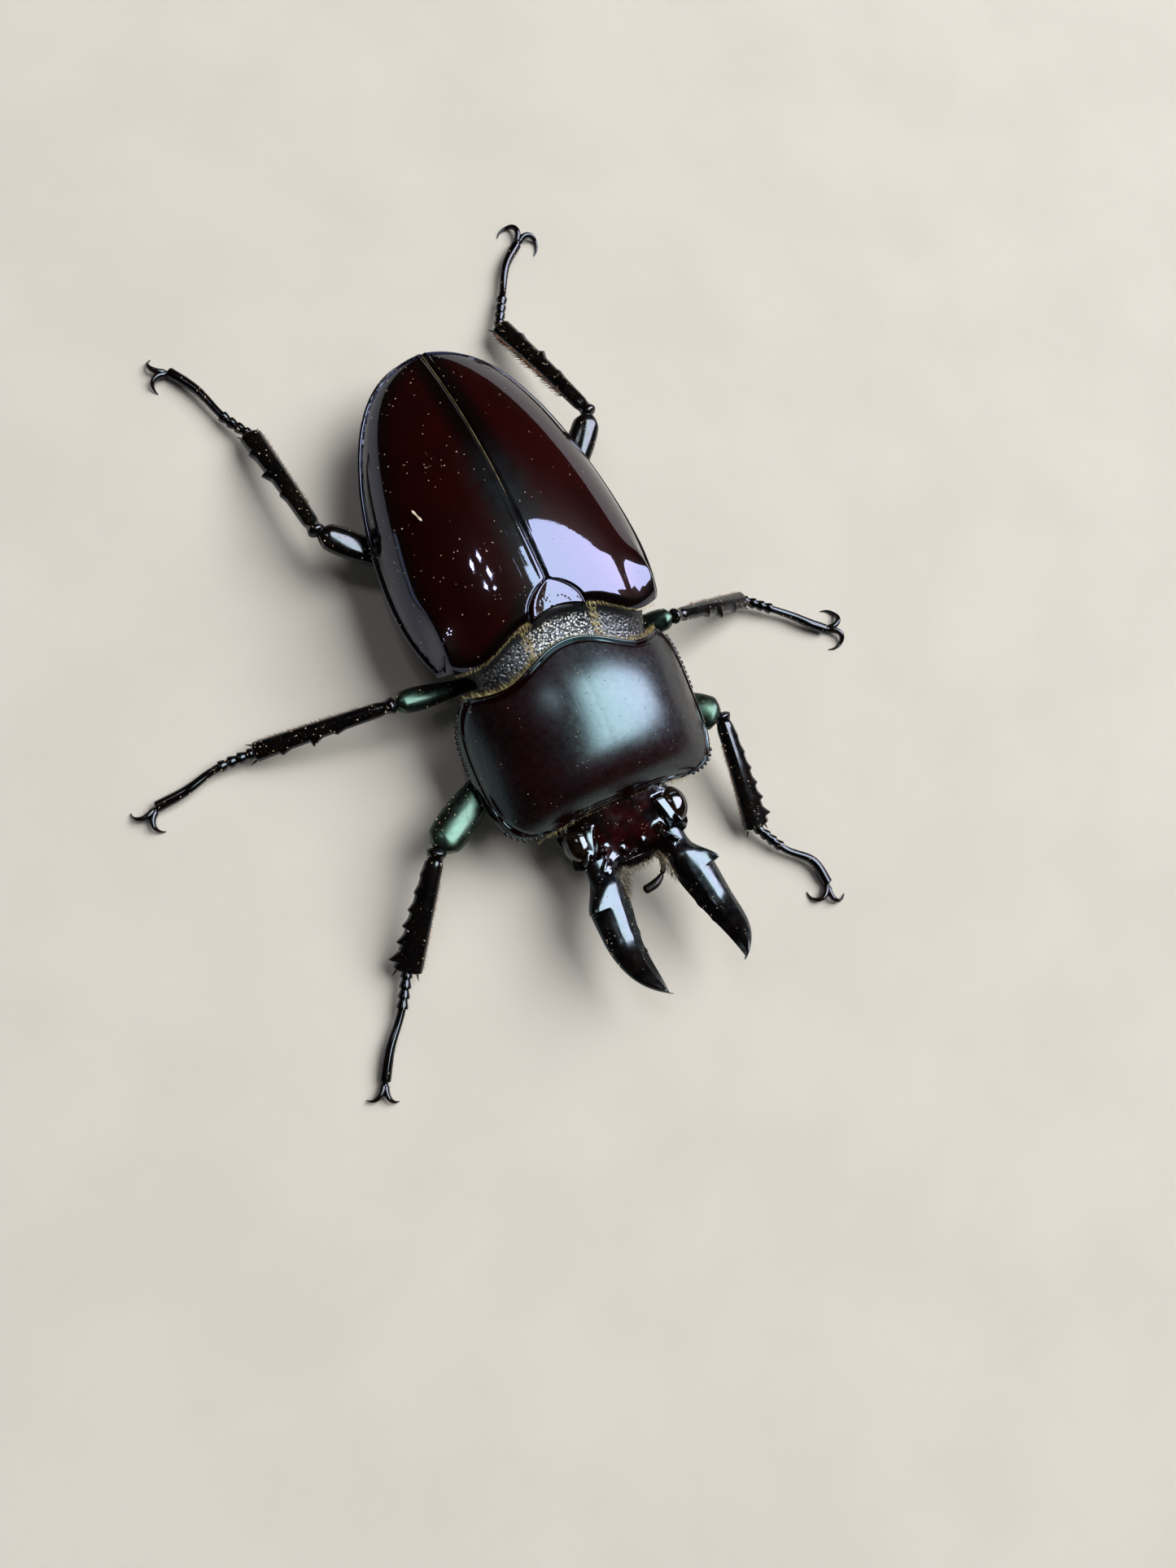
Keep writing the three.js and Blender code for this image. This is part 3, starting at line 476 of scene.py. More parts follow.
eye_lens = finish(
    "eye lenses", (0.008, 0.006, 0.005), 0.07, IOR=1.55, Specular_Tint=(0.70, 0.86, 1.0),
    Coat_Weight=0.55, Coat_Roughness=0.02, Coat_IOR=1.5)
two_toned(eye_lens, 0.5, (0.0045, 0.0035, 0.0030), (0.016, 0.009, 0.005))
bumped(eye_lens, (spread(eye_lens, cells(eye_lens, 0.045), 0.0, 0.6), 0.0002))

palp_amber = grained(
    "palp amber", (0.02, 0.008, 0.005), 0.30,
    drift=0.6, first=(0.0060, 0.0028, 0.0020), second=(0.0032, 0.0020, 0.0018),
    grain=0.15, depth=0.003, detail=3.0,
    Specular_IOR_Level=0.15, Subsurface_Weight=0.05, Subsurface_Scale=0.4 * MM)
bristle_gold = grained(
    "golden bristle", (0.60, 0.50, 0.20), 0.42,
    drift=0.7, first=(0.72, 0.63, 0.27), second=(0.42, 0.33, 0.12),
    grain=0.04, depth=0.001,
    Specular_IOR_Level=0.6, Subsurface_Weight=0.1, Subsurface_Scale=0.1 * MM)
bristle_rust = grained(
    "rust bristle", (0.24, 0.10, 0.035), 0.45,
    drift=0.6, first=(0.30, 0.13, 0.045), second=(0.11, 0.045, 0.018),
    grain=0.04, depth=0.001, Specular_IOR_Level=0.5)
bristle_umber = grained(
    "umber bristle", (0.14, 0.10, 0.045), 0.42,
    drift=0.5, first=(0.20, 0.15, 0.065), second=(0.060, 0.040, 0.020),
    grain=0.04, depth=0.001, Specular_IOR_Level=0.5)
bark_dust = grained(
    "bark dust", (0.72, 0.64, 0.50), 0.9,
    drift=1.2, first=(0.86, 0.80, 0.68), second=(0.52, 0.38, 0.24),
    grain=0.03, depth=0.004, Specular_IOR_Level=0.2)
suture_tan = grained(
    "suture edge", (0.42, 0.33, 0.16), 0.38,
    drift=1.0, first=(0.46, 0.36, 0.18), second=(0.20, 0.13, 0.06),
    grain=0.08, depth=0.002, Coat_Weight=0.4, Coat_Roughness=0.15)
print("finishes so far:", len(bpy.data.materials))

# %% [markdown]
# The floor is a plain pale board with a barely visible tooth, so that the shadows say where each
# foot stands.

# %% Floor
FLOOR_HALF = 3.0

floor_paint = grained(
    "pale floor", (0.66, 0.65, 0.62), 0.85,
    drift=14.0, first=(0.67, 0.66, 0.63), second=(0.64, 0.63, 0.60),
    grain=0.7, depth=0.01, detail=3.0, Specular_IOR_Level=0.25)
floor_mesh = bpy.data.meshes.new("floor")
corners = [(FLOOR_HALF * x, FLOOR_HALF * y, 0) for x, y in ((-1, -1), (1, -1), (1, 1), (-1, 1))]
floor_mesh.from_pydata(corners, [], [(0, 1, 2, 3)])
floor_mesh.materials.append(floor_paint)
floor = link(bpy.data.objects.new("floor", floor_mesh))
print("floor is", 2 * FLOOR_HALF, "m wide")

# %% [markdown]
# ## Kit for shapes
#
# Two ways of making a closed surface cover almost the whole beetle. A shell lies between an outer
# and an inner surface over the same square grid, as wing cases and the pronotum do. A loft is a
# row of rings with a cap on each end, as a leg or a body section is. Both take numpy arrays, so a
# formula written once fills thousands of points.

# %% Shells and lofts
SHARP_DEGREES = 42
SIDES = {"left": 1, "right": -1}


def lerp(first, last, share):
    return first + (last - first) * share


def smooth(value, low, high):
    share = np.clip((np.asarray(value, float) - low) / (high - low), 0, 1)
    return share * share * (3 - 2 * share)


def furrow(distance, width):
    """A smooth furrow or ridge of height 1 where the distance is 0."""
    return np.exp(-(distance / width) ** 2)


def fade(value, low, high):
    """1 up to low, and falling smoothly to 0 at high."""
    return 1 - smooth(value, low, high)


def hump(x, y, middle_x, middle_y, reach_x, reach_y):
    """A round hill of height 1."""
    return np.exp(-((x - middle_x) / reach_x) ** 2 - ((y - middle_y) / reach_y) ** 2)


def bead(distance, width):
    """Half-round moulding of height 1 along an edge, as wide as given."""
    return np.sqrt(np.clip(1 - ((distance - width / 2) / (width / 2)) ** 2, 0, 1))


def rounded(low, high, count):
    """Stations that crowd towards both ends, where the fine edges are."""
    return lerp(low, high, (1 - np.cos(np.linspace(0, math.pi, count))) / 2)


def shell(outer, inner, us, vs):
    """Points and faces of a solid between two surfaces over one grid of u and v."""
    u, v = np.meshgrid(us, vs)
    points = np.concatenate([
        np.stack(np.broadcast_arrays(*surface(u, v)), -1).reshape(-1, 3)
        for surface in (outer, inner)])
    rows, columns = u.shape
    index = np.arange(rows * columns).reshape(rows, columns)
    quads = np.stack([index[:-1, :-1], index[:-1, 1:], index[1:, 1:], index[1:, :-1]], -1)
    quads = quads.reshape(-1, 4)
    border = [*index[0, :-1], *index[:-1, -1], *index[-1, :0:-1], *index[:0:-1, 0]]
    after = border[1:] + border[:1]
    walls = [(a, a + index.size, b + index.size, b) for a, b in zip(border, after)]
    return points, [*quads.tolist(), *(quads[:, ::-1] + index.size).tolist(), *walls]


def loft(rings):
    """Points and faces of a solid through rings of shape (rings, sides, 3), capped at the ends."""
    count, sides = rings.shape[:2]
    index = np.arange(count * sides).reshape(count, sides)
    after = np.roll(index, -1, axis=1)
    faces = np.stack([index[:-1], after[:-1], after[1:], index[1:]], -1).reshape(-1, 4).tolist()
    ends = [rings[0].mean(0), rings[-1].mean(0)]
    first, last = index.size, index.size + 1
    faces += [(first, b, a) for a, b in zip(index[0], after[0])]
    faces += [(last, a, b) for a, b in zip(index[-1], after[-1])]
    return np.concatenate([rings.reshape(-1, 3), ends]), faces


def shaded(mesh):
    mesh.shade_smooth()
    mesh.set_sharp_from_angle(angle=math.radians(SHARP_DEGREES))


def solid(name, parts, material, **attributes):
    """A new piece from parts in body millimetres, closed, smooth and facing outwards."""
    mesh = bpy.data.meshes.new(name)
    for points, faces in parts:
        part = bpy.data.meshes.new("part")
        part.from_pydata(in_frame(points).tolist(), [], faces)
        build = bmesh.new()
        build.from_mesh(mesh)
        fresh = bmesh.new()
        fresh.from_mesh(part)
        if fresh.calc_volume(signed=True) < 0:
            bmesh.ops.reverse_faces(fresh, faces=fresh.faces[:])
        fresh.to_mesh(part)
        fresh.free()
        build.from_mesh(part)
        build.to_mesh(mesh)
        build.free()
        bpy.data.meshes.remove(part)
    for label, values in attributes.items():
        layer = mesh.attributes.new(label, "FLOAT", "POINT")
        layer.data.foreach_set("value", np.asarray(values, np.float32).ravel())
    weld(mesh)
    mesh.materials.append(material)
    shaded(mesh)
    return link(bpy.data.objects.new(name, mesh))


def weld(mesh, reach=0.0004):
    """Joins points closer than this many mm, so that tips and seams close."""
    build = bmesh.new()
    build.from_mesh(mesh)
    bmesh.ops.remove_doubles(build, verts=build.verts[:], dist=reach * MM)
    bmesh.ops.dissolve_degenerate(build, edges=build.edges[:], dist=reach * MM / 4)
    build.to_mesh(mesh)
    build.free()


def stands_for(piece, slot, *nodes):
    """The piece rides on the beetle's one body and replaces nodes. The slot is not used."""
    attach(piece, "root")
    if nodes:
        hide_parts(*nodes)
    print(piece.name, len(piece.data.polygons), "faces")


print("shape kit ready")

# %% [markdown]
# Legs, feelers and mandibles follow a path. A centripetal Catmull-Rom curve passes through its
# points without looping, which suits joints; the path is sampled evenly by length so that a
# station of 0.5 is the middle of the limb.

# %% Paths and limbs
PATH_SAMPLES = 400
UP = np.array([0.0, 0.0, 1.0])


def unit(vectors):
    return vectors / np.linalg.norm(vectors, axis=-1, keepdims=True)


def path_through(points):
    """Even samples along a smooth curve through the points."""
    points = np.asarray(points, float)
    padded = [2 * points[0] - points[1], *points, 2 * points[-1] - points[-2]]
    traced = []
    for before, start, end, after in zip(padded, padded[1:], padded[2:], padded[3:]):
        gap_in, gap, gap_out = [np.sqrt(np.linalg.norm(b - a)) for a, b in
                                ((before, start), (start, end), (end, after))]
        leave = gap * (
            (start - before) / gap_in - (end - before) / (gap_in + gap) + (end - start) / gap)
        arrive = gap * (
            (end - start) / gap - (after - start) / (gap + gap_out) + (after - end) / gap_out)
        t = np.linspace(0, 1, PATH_SAMPLES // 4)[:, None]
        traced.append(
            start + leave * t + (3 * (end - start) - 2 * leave - arrive) * t ** 2
            + (2 * (start - end) + leave + arrive) * t ** 3)
    traced = np.concatenate(traced)
    steps = np.concatenate([[0], np.cumsum(np.linalg.norm(np.diff(traced, axis=0), axis=1))])
    even = np.linspace(0, steps[-1], PATH_SAMPLES)
    return np.stack([np.interp(even, steps, traced[:, axis]) for axis in range(3)], -1)


def at(path, stations):
    """Places on a path, and the three directions there: ahead, across and above."""
    where = np.clip(np.asarray(stations, float), 0, 1) * (PATH_SAMPLES - 1)
    samples = np.arange(PATH_SAMPLES)
    tangents = np.gradient(path, axis=0)
    place, ahead = [np.stack([np.interp(where, samples, values[:, axis]) for axis in range(3)], -1)
                    for values in (path, tangents)]
    ahead = unit(ahead)
    across = unit(np.cross(ahead, UP))
    return place, ahead, across, np.cross(across, ahead)


def limb(path, stations, radii, sides, push=None):
    """Rings along a path, with an elliptical section, kept above the floor.
    push(stations, angles) gives extra steps ahead and across, in mm, as a tooth needs."""
    stations = np.asarray(stations, float)
    place, ahead, across, above = at(path, stations)
    wide, deep = [np.broadcast_to(radius, stations.shape)[:, None, None] for radius in radii(stations)]
    angles = 2 * math.pi * (np.arange(sides) + 0.5) / sides
    ring = (place[:, None] + across[:, None] * wide * np.cos(angles)[:, None]
            + above[:, None] * deep * np.sin(angles)[:, None])
    if push is not None:
        forward, sideways = push(stations[:, None], angles[None, :])
        ring = ring + ahead[:, None] * forward[..., None] + across[:, None] * sideways[..., None]
    ring[..., 2] = np.maximum(ring[..., 2], 0)
    return loft(ring)


print("limb kit ready")

# %% [markdown]
# ## Wing cases
#
# The two wing cases are one dome cut along the middle. Their outline, the height of the margin and
# the height of the crown are three formulas along the body, and an arch joins them across it. On
# top of that come the parts that catch the light: a half-round bead round the margin with a groove
# inside it, a front edge that rolls down and a rounded, sunken suture.

# %% Outline and dome of the wing cases
GAP = 0.06
WING_CASE = {
    "half_width": 10.95, "widest_y": 3.0, "apex_y": 23.06, "top_z": 12.05, "top_y": 1.0,
    "apex_rise": 0.45, "margin_z": 5.3, "margin_low_y": 14.5, "margin_bow": 0.0068, "thickness": 0.7,
    "rim_width": 0.40, "rim_height": 0.24, "gutter": 0.34, "shoulder": 0.19, "corner_y": -3.3,
}
SCUTELLUM = {"half_width": 2.3, "length": 2.6, "thickness": 0.5, "crown": 0.12, "front_bow": 0.5}


def wing_half_width(y):
    w = WING_CASE
    front = 1 - 0.11 * (np.maximum(w["widest_y"] - y, 0) / 6.7) ** 2.2
    share = np.clip((y - w["widest_y"]) / (w["apex_y"] - w["widest_y"]), 0, 1)
    return w["half_width"] * np.where(y < w["widest_y"], front, (1 - share ** 1.8) ** 0.41)


def wing_margin_z(y):
    return WING_CASE["margin_z"] + WING_CASE["margin_bow"] * (y - WING_CASE["margin_low_y"]) ** 2


def wing_crown_z(y):
    w = WING_CASE
    end = wing_margin_z(w["apex_y"]) + w["apex_rise"]
    share = np.clip((y - w["top_y"]) / (w["apex_y"] - w["top_y"]), 0, 1)
    rear = end + (w["top_z"] - end) * (1 - share ** 2.2)
    return np.where(y < w["top_y"], w["top_z"] - 0.035 * (w["top_y"] - y) ** 2, rear)


def scutellum_edge(y):
    share = np.clip((y + SCUTELLUM["length"]) / SCUTELLUM["length"], 0, 1)
    return SCUTELLUM["half_width"] * (1 - share ** 2) ** 0.75


def wing_front_y(x):
    dip = np.sin(math.pi / 2 * np.clip((np.abs(x) - SCUTELLUM["half_width"]) / 5, 0, 1)) ** 2
    return -2.5 - 1.6 * dip + 0.45 * np.maximum(0, (np.abs(x) - 7.3) / 1.9) ** 2


def wing_dome_z(x, y, inset=0.0, gutter=0.0):
    half = np.maximum(wing_half_width(y) - inset - gutter, 0.3)
    base = wing_margin_z(y) - np.where(np.asarray(inset) > 0, 0.25, 0)
    arch = np.maximum(0, 1 - np.minimum(np.abs(x) / half, 1) ** 2.3) ** 0.62
    return base + (wing_crown_z(y) - inset - base) * arch


print("wing cases are", 2 * WING_CASE["half_width"], "mm wide")

# %% Build the wing cases
OUTLINE_STEP = 0.02


def to_margin(x, y):
    """Rough distance in mm from a point on the dome to the margin of the wing case."""
    change = wing_half_width(y + OUTLINE_STEP) - wing_half_width(y - OUTLINE_STEP)
    slope = change / (2 * OUTLINE_STEP)
    return (wing_half_width(y) - x) / np.sqrt(1 + slope ** 2)


def wing_case_piece(name, side):
    def place(u, v, inset):
        front = wing_front_y(lerp(SCUTELLUM["half_width"], wing_half_width(WING_CASE["corner_y"]), u))
        y = lerp(front, WING_CASE["apex_y"] - 0.015, v)
        half = wing_half_width(y) - inset(y)
        inner = scutellum_edge(y) + lerp(2 * GAP, GAP / 2, smooth(y, -0.25, 0.25))
        return np.maximum(lerp(inner, half, u), inner), y, inner, y - front

    def outer(u, v):
        x, y, inner, from_front = place(u, v, lambda along: 0)
        edge = to_margin(x, y)
        z = wing_dome_z(x, y, gutter=WING_CASE["gutter"])
        rim = bead(edge, WING_CASE["rim_width"]) * WING_CASE["rim_height"] * np.where(u == 1, 0, 1)
        groove = 0.05 * furrow(edge - 0.46, 0.10)
        seam = x - inner
        raised = 0.03 * furrow(seam - 0.34, 0.13) * smooth(y, -0.5, 1.5)
        sunk = 0.13 * furrow(seam, 0.13) - raised
        rolled = 0.42 * np.maximum(1 - from_front / 0.75, 0) ** 2
        rise = np.maximum(x - 6.6, 0) ** 2 * fade(x, 8.9, 9.9)
        shoulder = WING_CASE["shoulder"] * rise * hump(0, y, 0, -1.9, 1, 2.4)
        return side * x, y, z + rim - groove - sunk + shoulder - rolled

    def wall(along):
        return np.minimum(WING_CASE["thickness"] + 0.05, 0.6 * wing_half_width(along))

    def inner(u, v):
        x, y, _, _ = place(u, v, wall)
        return side * x, y, wing_dome_z(x, y, wall(y))

    us, vs = rounded(0, 1, 104), rounded(0, 1, 150)
    u, v = np.meshgrid(us, vs)
    x, y, seam_x, from_front = place(u, v, lambda along: 0)
    dark = np.maximum(fade(to_margin(x, y), 0.5, 4.5), fade(x - seam_x, 0.2, 3.2))
    dark = np.maximum(dark, fade(from_front, 0.3, 1.6))
    # Painted reflection: where the blue-grey sheen is painted, along the middle of the suture.
    sheen_share = fade(x - seam_x, 0.2, 3.4) * smooth(y, -1.5, 4) * fade(y, 8, 14)
    return solid(name, [shell(outer, inner, us, vs)], wing_case,
                 edge=[dark, dark], bloom=[sheen_share, sheen_share])


for label, side in SIDES.items():
    stands_for(wing_case_piece(f"elytron_{label}_lacquer", side), "elytra", f"elytron_{label}")

# %% [markdown]
# Between the wing cases a thin pale edge of the hidden wing membrane shows as a golden line from
# the tip to about half way. It is a narrow strip in the gap, a hair below the lacquer.

# %% Golden line of the suture
SUTURE_FROM_Y = 5.5
SUTURE_HALF_WIDTH = 0.027


def suture_strip():
    def top(u, v):
        y = lerp(SUTURE_FROM_Y, WING_CASE["apex_y"] - 0.25, v)
        sunk = 0.075 + 0.18 * fade(y, SUTURE_FROM_Y, SUTURE_FROM_Y + 5)
        return u * SUTURE_HALF_WIDTH, y, wing_crown_z(y) - sunk - 0.03 * u * u

    def bottom(u, v):
        x, y, z = top(u, v)
        return x * 0.6, y, z - 0.25

    strip = shell(top, bottom, np.linspace(-1, 1, 7), np.linspace(0, 1, 90))
    return solid("suture_edge", [strip], suture_tan)


stands_for(suture_strip(), "elytra")

# %% [markdown]
# ## Growing with Geometry Nodes
#
# Pits, beads, bristles, lenses and crumbs all repeat over a surface or along a line, which is work
# for Geometry Nodes. A tree is made once, with its sizes as named inputs. A host object carries
# the surface or the line; the tree runs on it, and what it grows is kept as a plain mesh.

# %% A tree with named inputs, and a piece grown by it


def growth(name, **inputs):
    """A new Geometry Nodes tree with these inputs after its geometry, and its input node."""
    tree = bpy.data.node_groups.new(name, "GeometryNodeTree")
    tree.interface.new_socket("Geometry", in_out="INPUT", socket_type="NodeSocketGeometry")
    for label, value in inputs.items():
        kind = "Material" if value is None else "Int" if isinstance(value, int) else "Float"
        socket = tree.interface.new_socket(label, in_out="INPUT", socket_type=f"NodeSocket{kind}")
        if value is not None:
            socket.default_value = value
    tree.interface.new_socket("Geometry", in_out="OUTPUT", socket_type="NodeSocketGeometry")
    return tree, node(tree, "NodeGroupInput")


def ended(tree, geometry, given):
    """Ends the tree: its copies become real geometry, in its input material."""
    real = node(tree, "GeometryNodeRealizeInstances", {"Geometry": geometry})
    painted = node(tree, "GeometryNodeSetMaterial", {
        "Geometry": out(real), "Material": out(given, "Material")})
    node(tree, "NodeGroupOutput", {"Geometry": out(painted)})
    return tree


def grown(host, tree, **values):
    """The host with its mesh replaced by what the tree makes of it with these inputs."""
    modifier = host.modifiers.new(tree.name, "NODES")
    modifier.node_group = tree
    for item in tree.interface.items_tree:
        if item.in_out == "INPUT" and item.name in values:
            modifier[item.identifier] = values[item.name]
    depsgraph = bpy.context.evaluated_depsgraph_get()
    mesh = bpy.data.meshes.new_from_object(
        host.evaluated_get(depsgraph), preserve_all_data_layers=True, depsgraph=depsgraph)
    host.modifiers.clear()
    host.data = mesh
    mesh.name = host.name
    return host


def named(tree, label, kind="FLOAT"):
    """An attribute of the host's geometry."""
    found = node(tree, "GeometryNodeInputNamedAttribute", {"Name": label}, data_type=kind)
    return out(found, "Attribute")


def in_metres(tree, given, label):
    """One of the tree's inputs, which are in millimetres, as metres."""
    return times(tree, out(given, label), MM)


def upward(tree, kind):
    """The Z part of a place or a direction that the node of this kind gives."""
    return out(node(tree, "ShaderNodeSeparateXYZ", {0: out(node(tree, kind))}), "Z")


def scaled(tree, vector, by):
    return out(node(tree, "ShaderNodeVectorMath", {0: vector, "Scale": by}, operation="SCALE"))


def added(tree, first, second):
    return out(node(tree, "ShaderNodeVectorMath", {0: first, 1: second}, operation="ADD"))


def chance(tree, low, high, seed, offset=0):
    """A random number for each copy, or a random vector if low and high are vectors."""
    kind = "FLOAT_VECTOR" if isinstance(low, tuple) else "FLOAT"
    own_seed = maths(tree, "ADD", seed, offset)
    return out(node(tree, "FunctionNodeRandomValue", {"Min": low, "Max": high, "Seed": own_seed},
                    data_type=kind), "Value")


print("growing kit ready")

# %% [markdown]
# The first tree sinks pits. Scattered points come from a Voronoi texture, whose distance says how
# near each vertex is to one of them; the vertex then moves inwards along its normal, as far as
# the attribute "pitted" of the surface allows.

# %% The tree that sinks pits


def pits_tree():
    tree, given = growth("pits", Spacing=0.2, Depth=0.03, Inner=0.10, Outer=0.36, Material=None)
    place = out(node(tree, "GeometryNodeInputPosition"))
    in_pits = scaled(tree, place, maths(tree, "DIVIDE", 1 / MM, out(given, "Spacing")))
    near = out(node(tree, "ShaderNodeTexVoronoi", {"Vector": in_pits, "Scale": 1.0}), "Distance")
    hollow = out(node(tree, "ShaderNodeMapRange", {
        "Value": near, "From Min": out(given, "Inner"), "From Max": out(given, "Outer"),
        "To Min": 1.0, "To Max": 0.0}, interpolation_type="SMOOTHSTEP"))
    depth = times(
        tree, times(tree, hollow, named(tree, "pitted")), times(tree, out(given, "Depth"), -MM))
    inwards = scaled(tree, out(node(tree, "GeometryNodeInputNormal")), depth)
    sunk = node(tree, "GeometryNodeSetPosition", {
        "Geometry": out(given, "Geometry"), "Offset": inwards})
    return ended(tree, out(sunk), given)


PITS = pits_tree()
print(PITS.name, "inputs:", [item.name for item in PITS.interface.items_tree])

# %% [markdown]
# ## Scutellum
#
# The scutellum is a small rounded triangle at the root of the wing cases, polished like them,
# crowned a little and set in a black groove. Its front carries coarse pits, which the tree above
# sinks into a fine grid.

# %% Build the scutellum


def scutellum_front(u):
    return -SCUTELLUM["length"] + SCUTELLUM["front_bow"] * (1 - u * u)


def scutellum_piece():
    def place(u, v):
        y = lerp(scutellum_front(u), -SCUTELLUM_END, v)
        return u * scutellum_edge(y), y

    def top(u, v):
        x, y = place(u, v)
        edge = (1 - np.abs(u)) * scutellum_edge(y) * 0.75
        sunk = 0.09 * furrow(edge, 0.1) - 0.02 * furrow(edge - 0.22, 0.08)
        z = wing_crown_z(y) + SCUTELLUM["crown"] * (1 - u * u) - 0.05 * (1 - v)
        return x, y, z - sunk

    def bottom(u, v):
        x, y = place(u, v)
        return x, y, wing_crown_z(y) - SCUTELLUM["thickness"]

    us, vs = rounded(-1, 1, 110), rounded(0, 1, 80)
    u, v = np.meshgrid(us, vs)
    pitted = fade(v, 0.22, 0.5) * smooth(1 - np.abs(u), 0.03, 0.1)
    dark = fade(1 - np.abs(u), 0.0, 0.12)
    none = np.zeros_like(u)
    return solid("scutellum_lacquer", [shell(top, bottom, us, vs)], wing_case,
                 edge=[dark, dark], pitted=[pitted, none])


scutellum = grown(scutellum_piece(), PITS, Spacing=0.24, Depth=0.045, Material=wing_case)
stands_for(scutellum, "elytra", "scutellum")

# %% [markdown]
# ## Pronotum
#
# The pronotum is a broad shield with a lobed rear edge. It has a fine bead on every edge, and its
# dome falls faster towards the head. It is built as the wing cases are, from an outline, a margin
# height and a crown height.

# %% Outline and dome of the pronotum
PRONOTUM = {
    "half_width": 10.25, "widest_y": -10.8, "rear_y": -5.6, "front_y": -17.85, "top_z": 11.15,
    "top_y": -10.15, "bow": 0.034, "brow_drop": 2.05, "margin_z": 5.05, "margin_low_y": -12.0,
    "thickness": 0.65, "rim_width": 0.4, "rim_height": 0.16,
}


def pronotum_half_width(y):
    p = PRONOTUM
    rear = p["half_width"] - 0.017 * np.maximum(y - p["widest_y"], 0) ** 2.76
    ahead = np.clip((p["widest_y"] - y) / 7.3, 0, 1)
    return np.where(y > p["widest_y"], rear, p["half_width"] * (1 - ahead ** 2.6) ** 0.217)


def pronotum_margin_z(y):
    rise = np.where(y > PRONOTUM["margin_low_y"], 0.054, 0.023)
    return PRONOTUM["margin_z"] + rise * (y - PRONOTUM["margin_low_y"]) ** 2


def pronotum_crown_z(y):
    p = PRONOTUM
    ahead = np.maximum(p["top_y"] - y, 0) / (p["top_y"] - p["front_y"])
    return p["top_z"] - p["bow"] * (y - p["top_y"]) ** 2 - p["brow_drop"] * ahead ** 6


def pronotum_rear_y(x):
    """The rear edge: a broad lobe in the middle, and corners that reach back a little."""
    reach = np.abs(x)
    lobe_end = 5.9
    lobe = np.where(reach < lobe_end, 1.9 * (1 - np.minimum(reach / lobe_end, 1) ** 2) ** 2, 0)
    return -6.4 + lobe + 0.9 * (np.maximum(0, reach - lobe_end) / 2.9) ** 2


def pronotum_front_y(x):
    return -17.6 - 0.3 * (x / 6.3) ** 4


def pronotum_dome_z(x, y, inset=0.0):
    half = pronotum_half_width(y) - inset
    base = pronotum_margin_z(y) - (0.3 if inset else 0.0)
    across = np.minimum(np.abs(x / half), 1)
    arch = 1 - 0.84 * across ** 2.27 - 0.16 * across ** 8
    return base + (pronotum_crown_z(y) - inset - base) * arch


print("pronotum is", 2 * PRONOTUM["half_width"], "mm wide")

# %% Build the pronotum


def pronotum_piece():
    p = PRONOTUM

    def place(u, v, inset):
        station = lerp(p["rear_y"], p["front_y"], v)
        x = u * (pronotum_half_width(station) - inset)
        return x, lerp(pronotum_rear_y(x), pronotum_front_y(x), v), station

    def edges(u, v):
        """Distances in mm to the side, the rear and the front edge."""
        x, y, station = place(u, v, 0)
        side = pronotum_half_width(station) * (1 - np.abs(u))
        return side, pronotum_rear_y(x) - y, y - pronotum_front_y(x)

    def outer(u, v):
        x, y, station = place(u, v, 0)
        side, rear, front = edges(u, v)
        rim = bead(side, p["rim_width"]) * p["rim_height"] - 0.05 * furrow(side - 0.55, 0.13)
        lip = 0.20 * bead(rear, 0.30) - 0.12 * furrow(rear - 0.40, 0.09)
        brow = 0.08 * bead(front, 0.24) - 0.06 * furrow(front - 0.33, 0.08)
        median = 0.005 * furrow(x, 0.16) * smooth(rear, 0.8, 2.0) * smooth(front, 0.8, 2.0)
        inside = smooth(side, 0.02, 0.4)
        saddle = 0.24 * hump(x, y, 0, -5.2, 2.4, 2.6)
        z = pronotum_dome_z(x, station) + rim * np.where(np.abs(u) == 1, 0, 1)
        return x, y, z + (lip + brow) * inside - median - saddle

    def inner(u, v):
        x, y, station = place(u, v, p["thickness"])
        return x, y, pronotum_dome_z(x, station, p["thickness"])

    us, vs = rounded(-1, 1, 190), rounded(0, 1, 120)
    u, v = np.meshgrid(us, vs)
    nearest = np.minimum.reduce(edges(u, v))
    dark = fade(nearest, 0.2, 2.2)
    return solid("pronotum_shield", [shell(outer, inner, us, vs)], pronotum_satin, edge=[dark, dark])


stands_for(pronotum_piece(), "pronotum", "pronotum")

# %% [markdown]
# ## Collar
#
# Where the pronotum rocks against the wing cases there is a sloping grey collar. Its surface is a
# net of pits that looks like shagreen. The plate itself is a simple sloping shell, and the net is
# cut by the same tree of pits as the scutellum's.

# %% Build the collar
COLLAR_HALF_WIDTH = 7.4
COLLAR_THICKNESS = 0.55


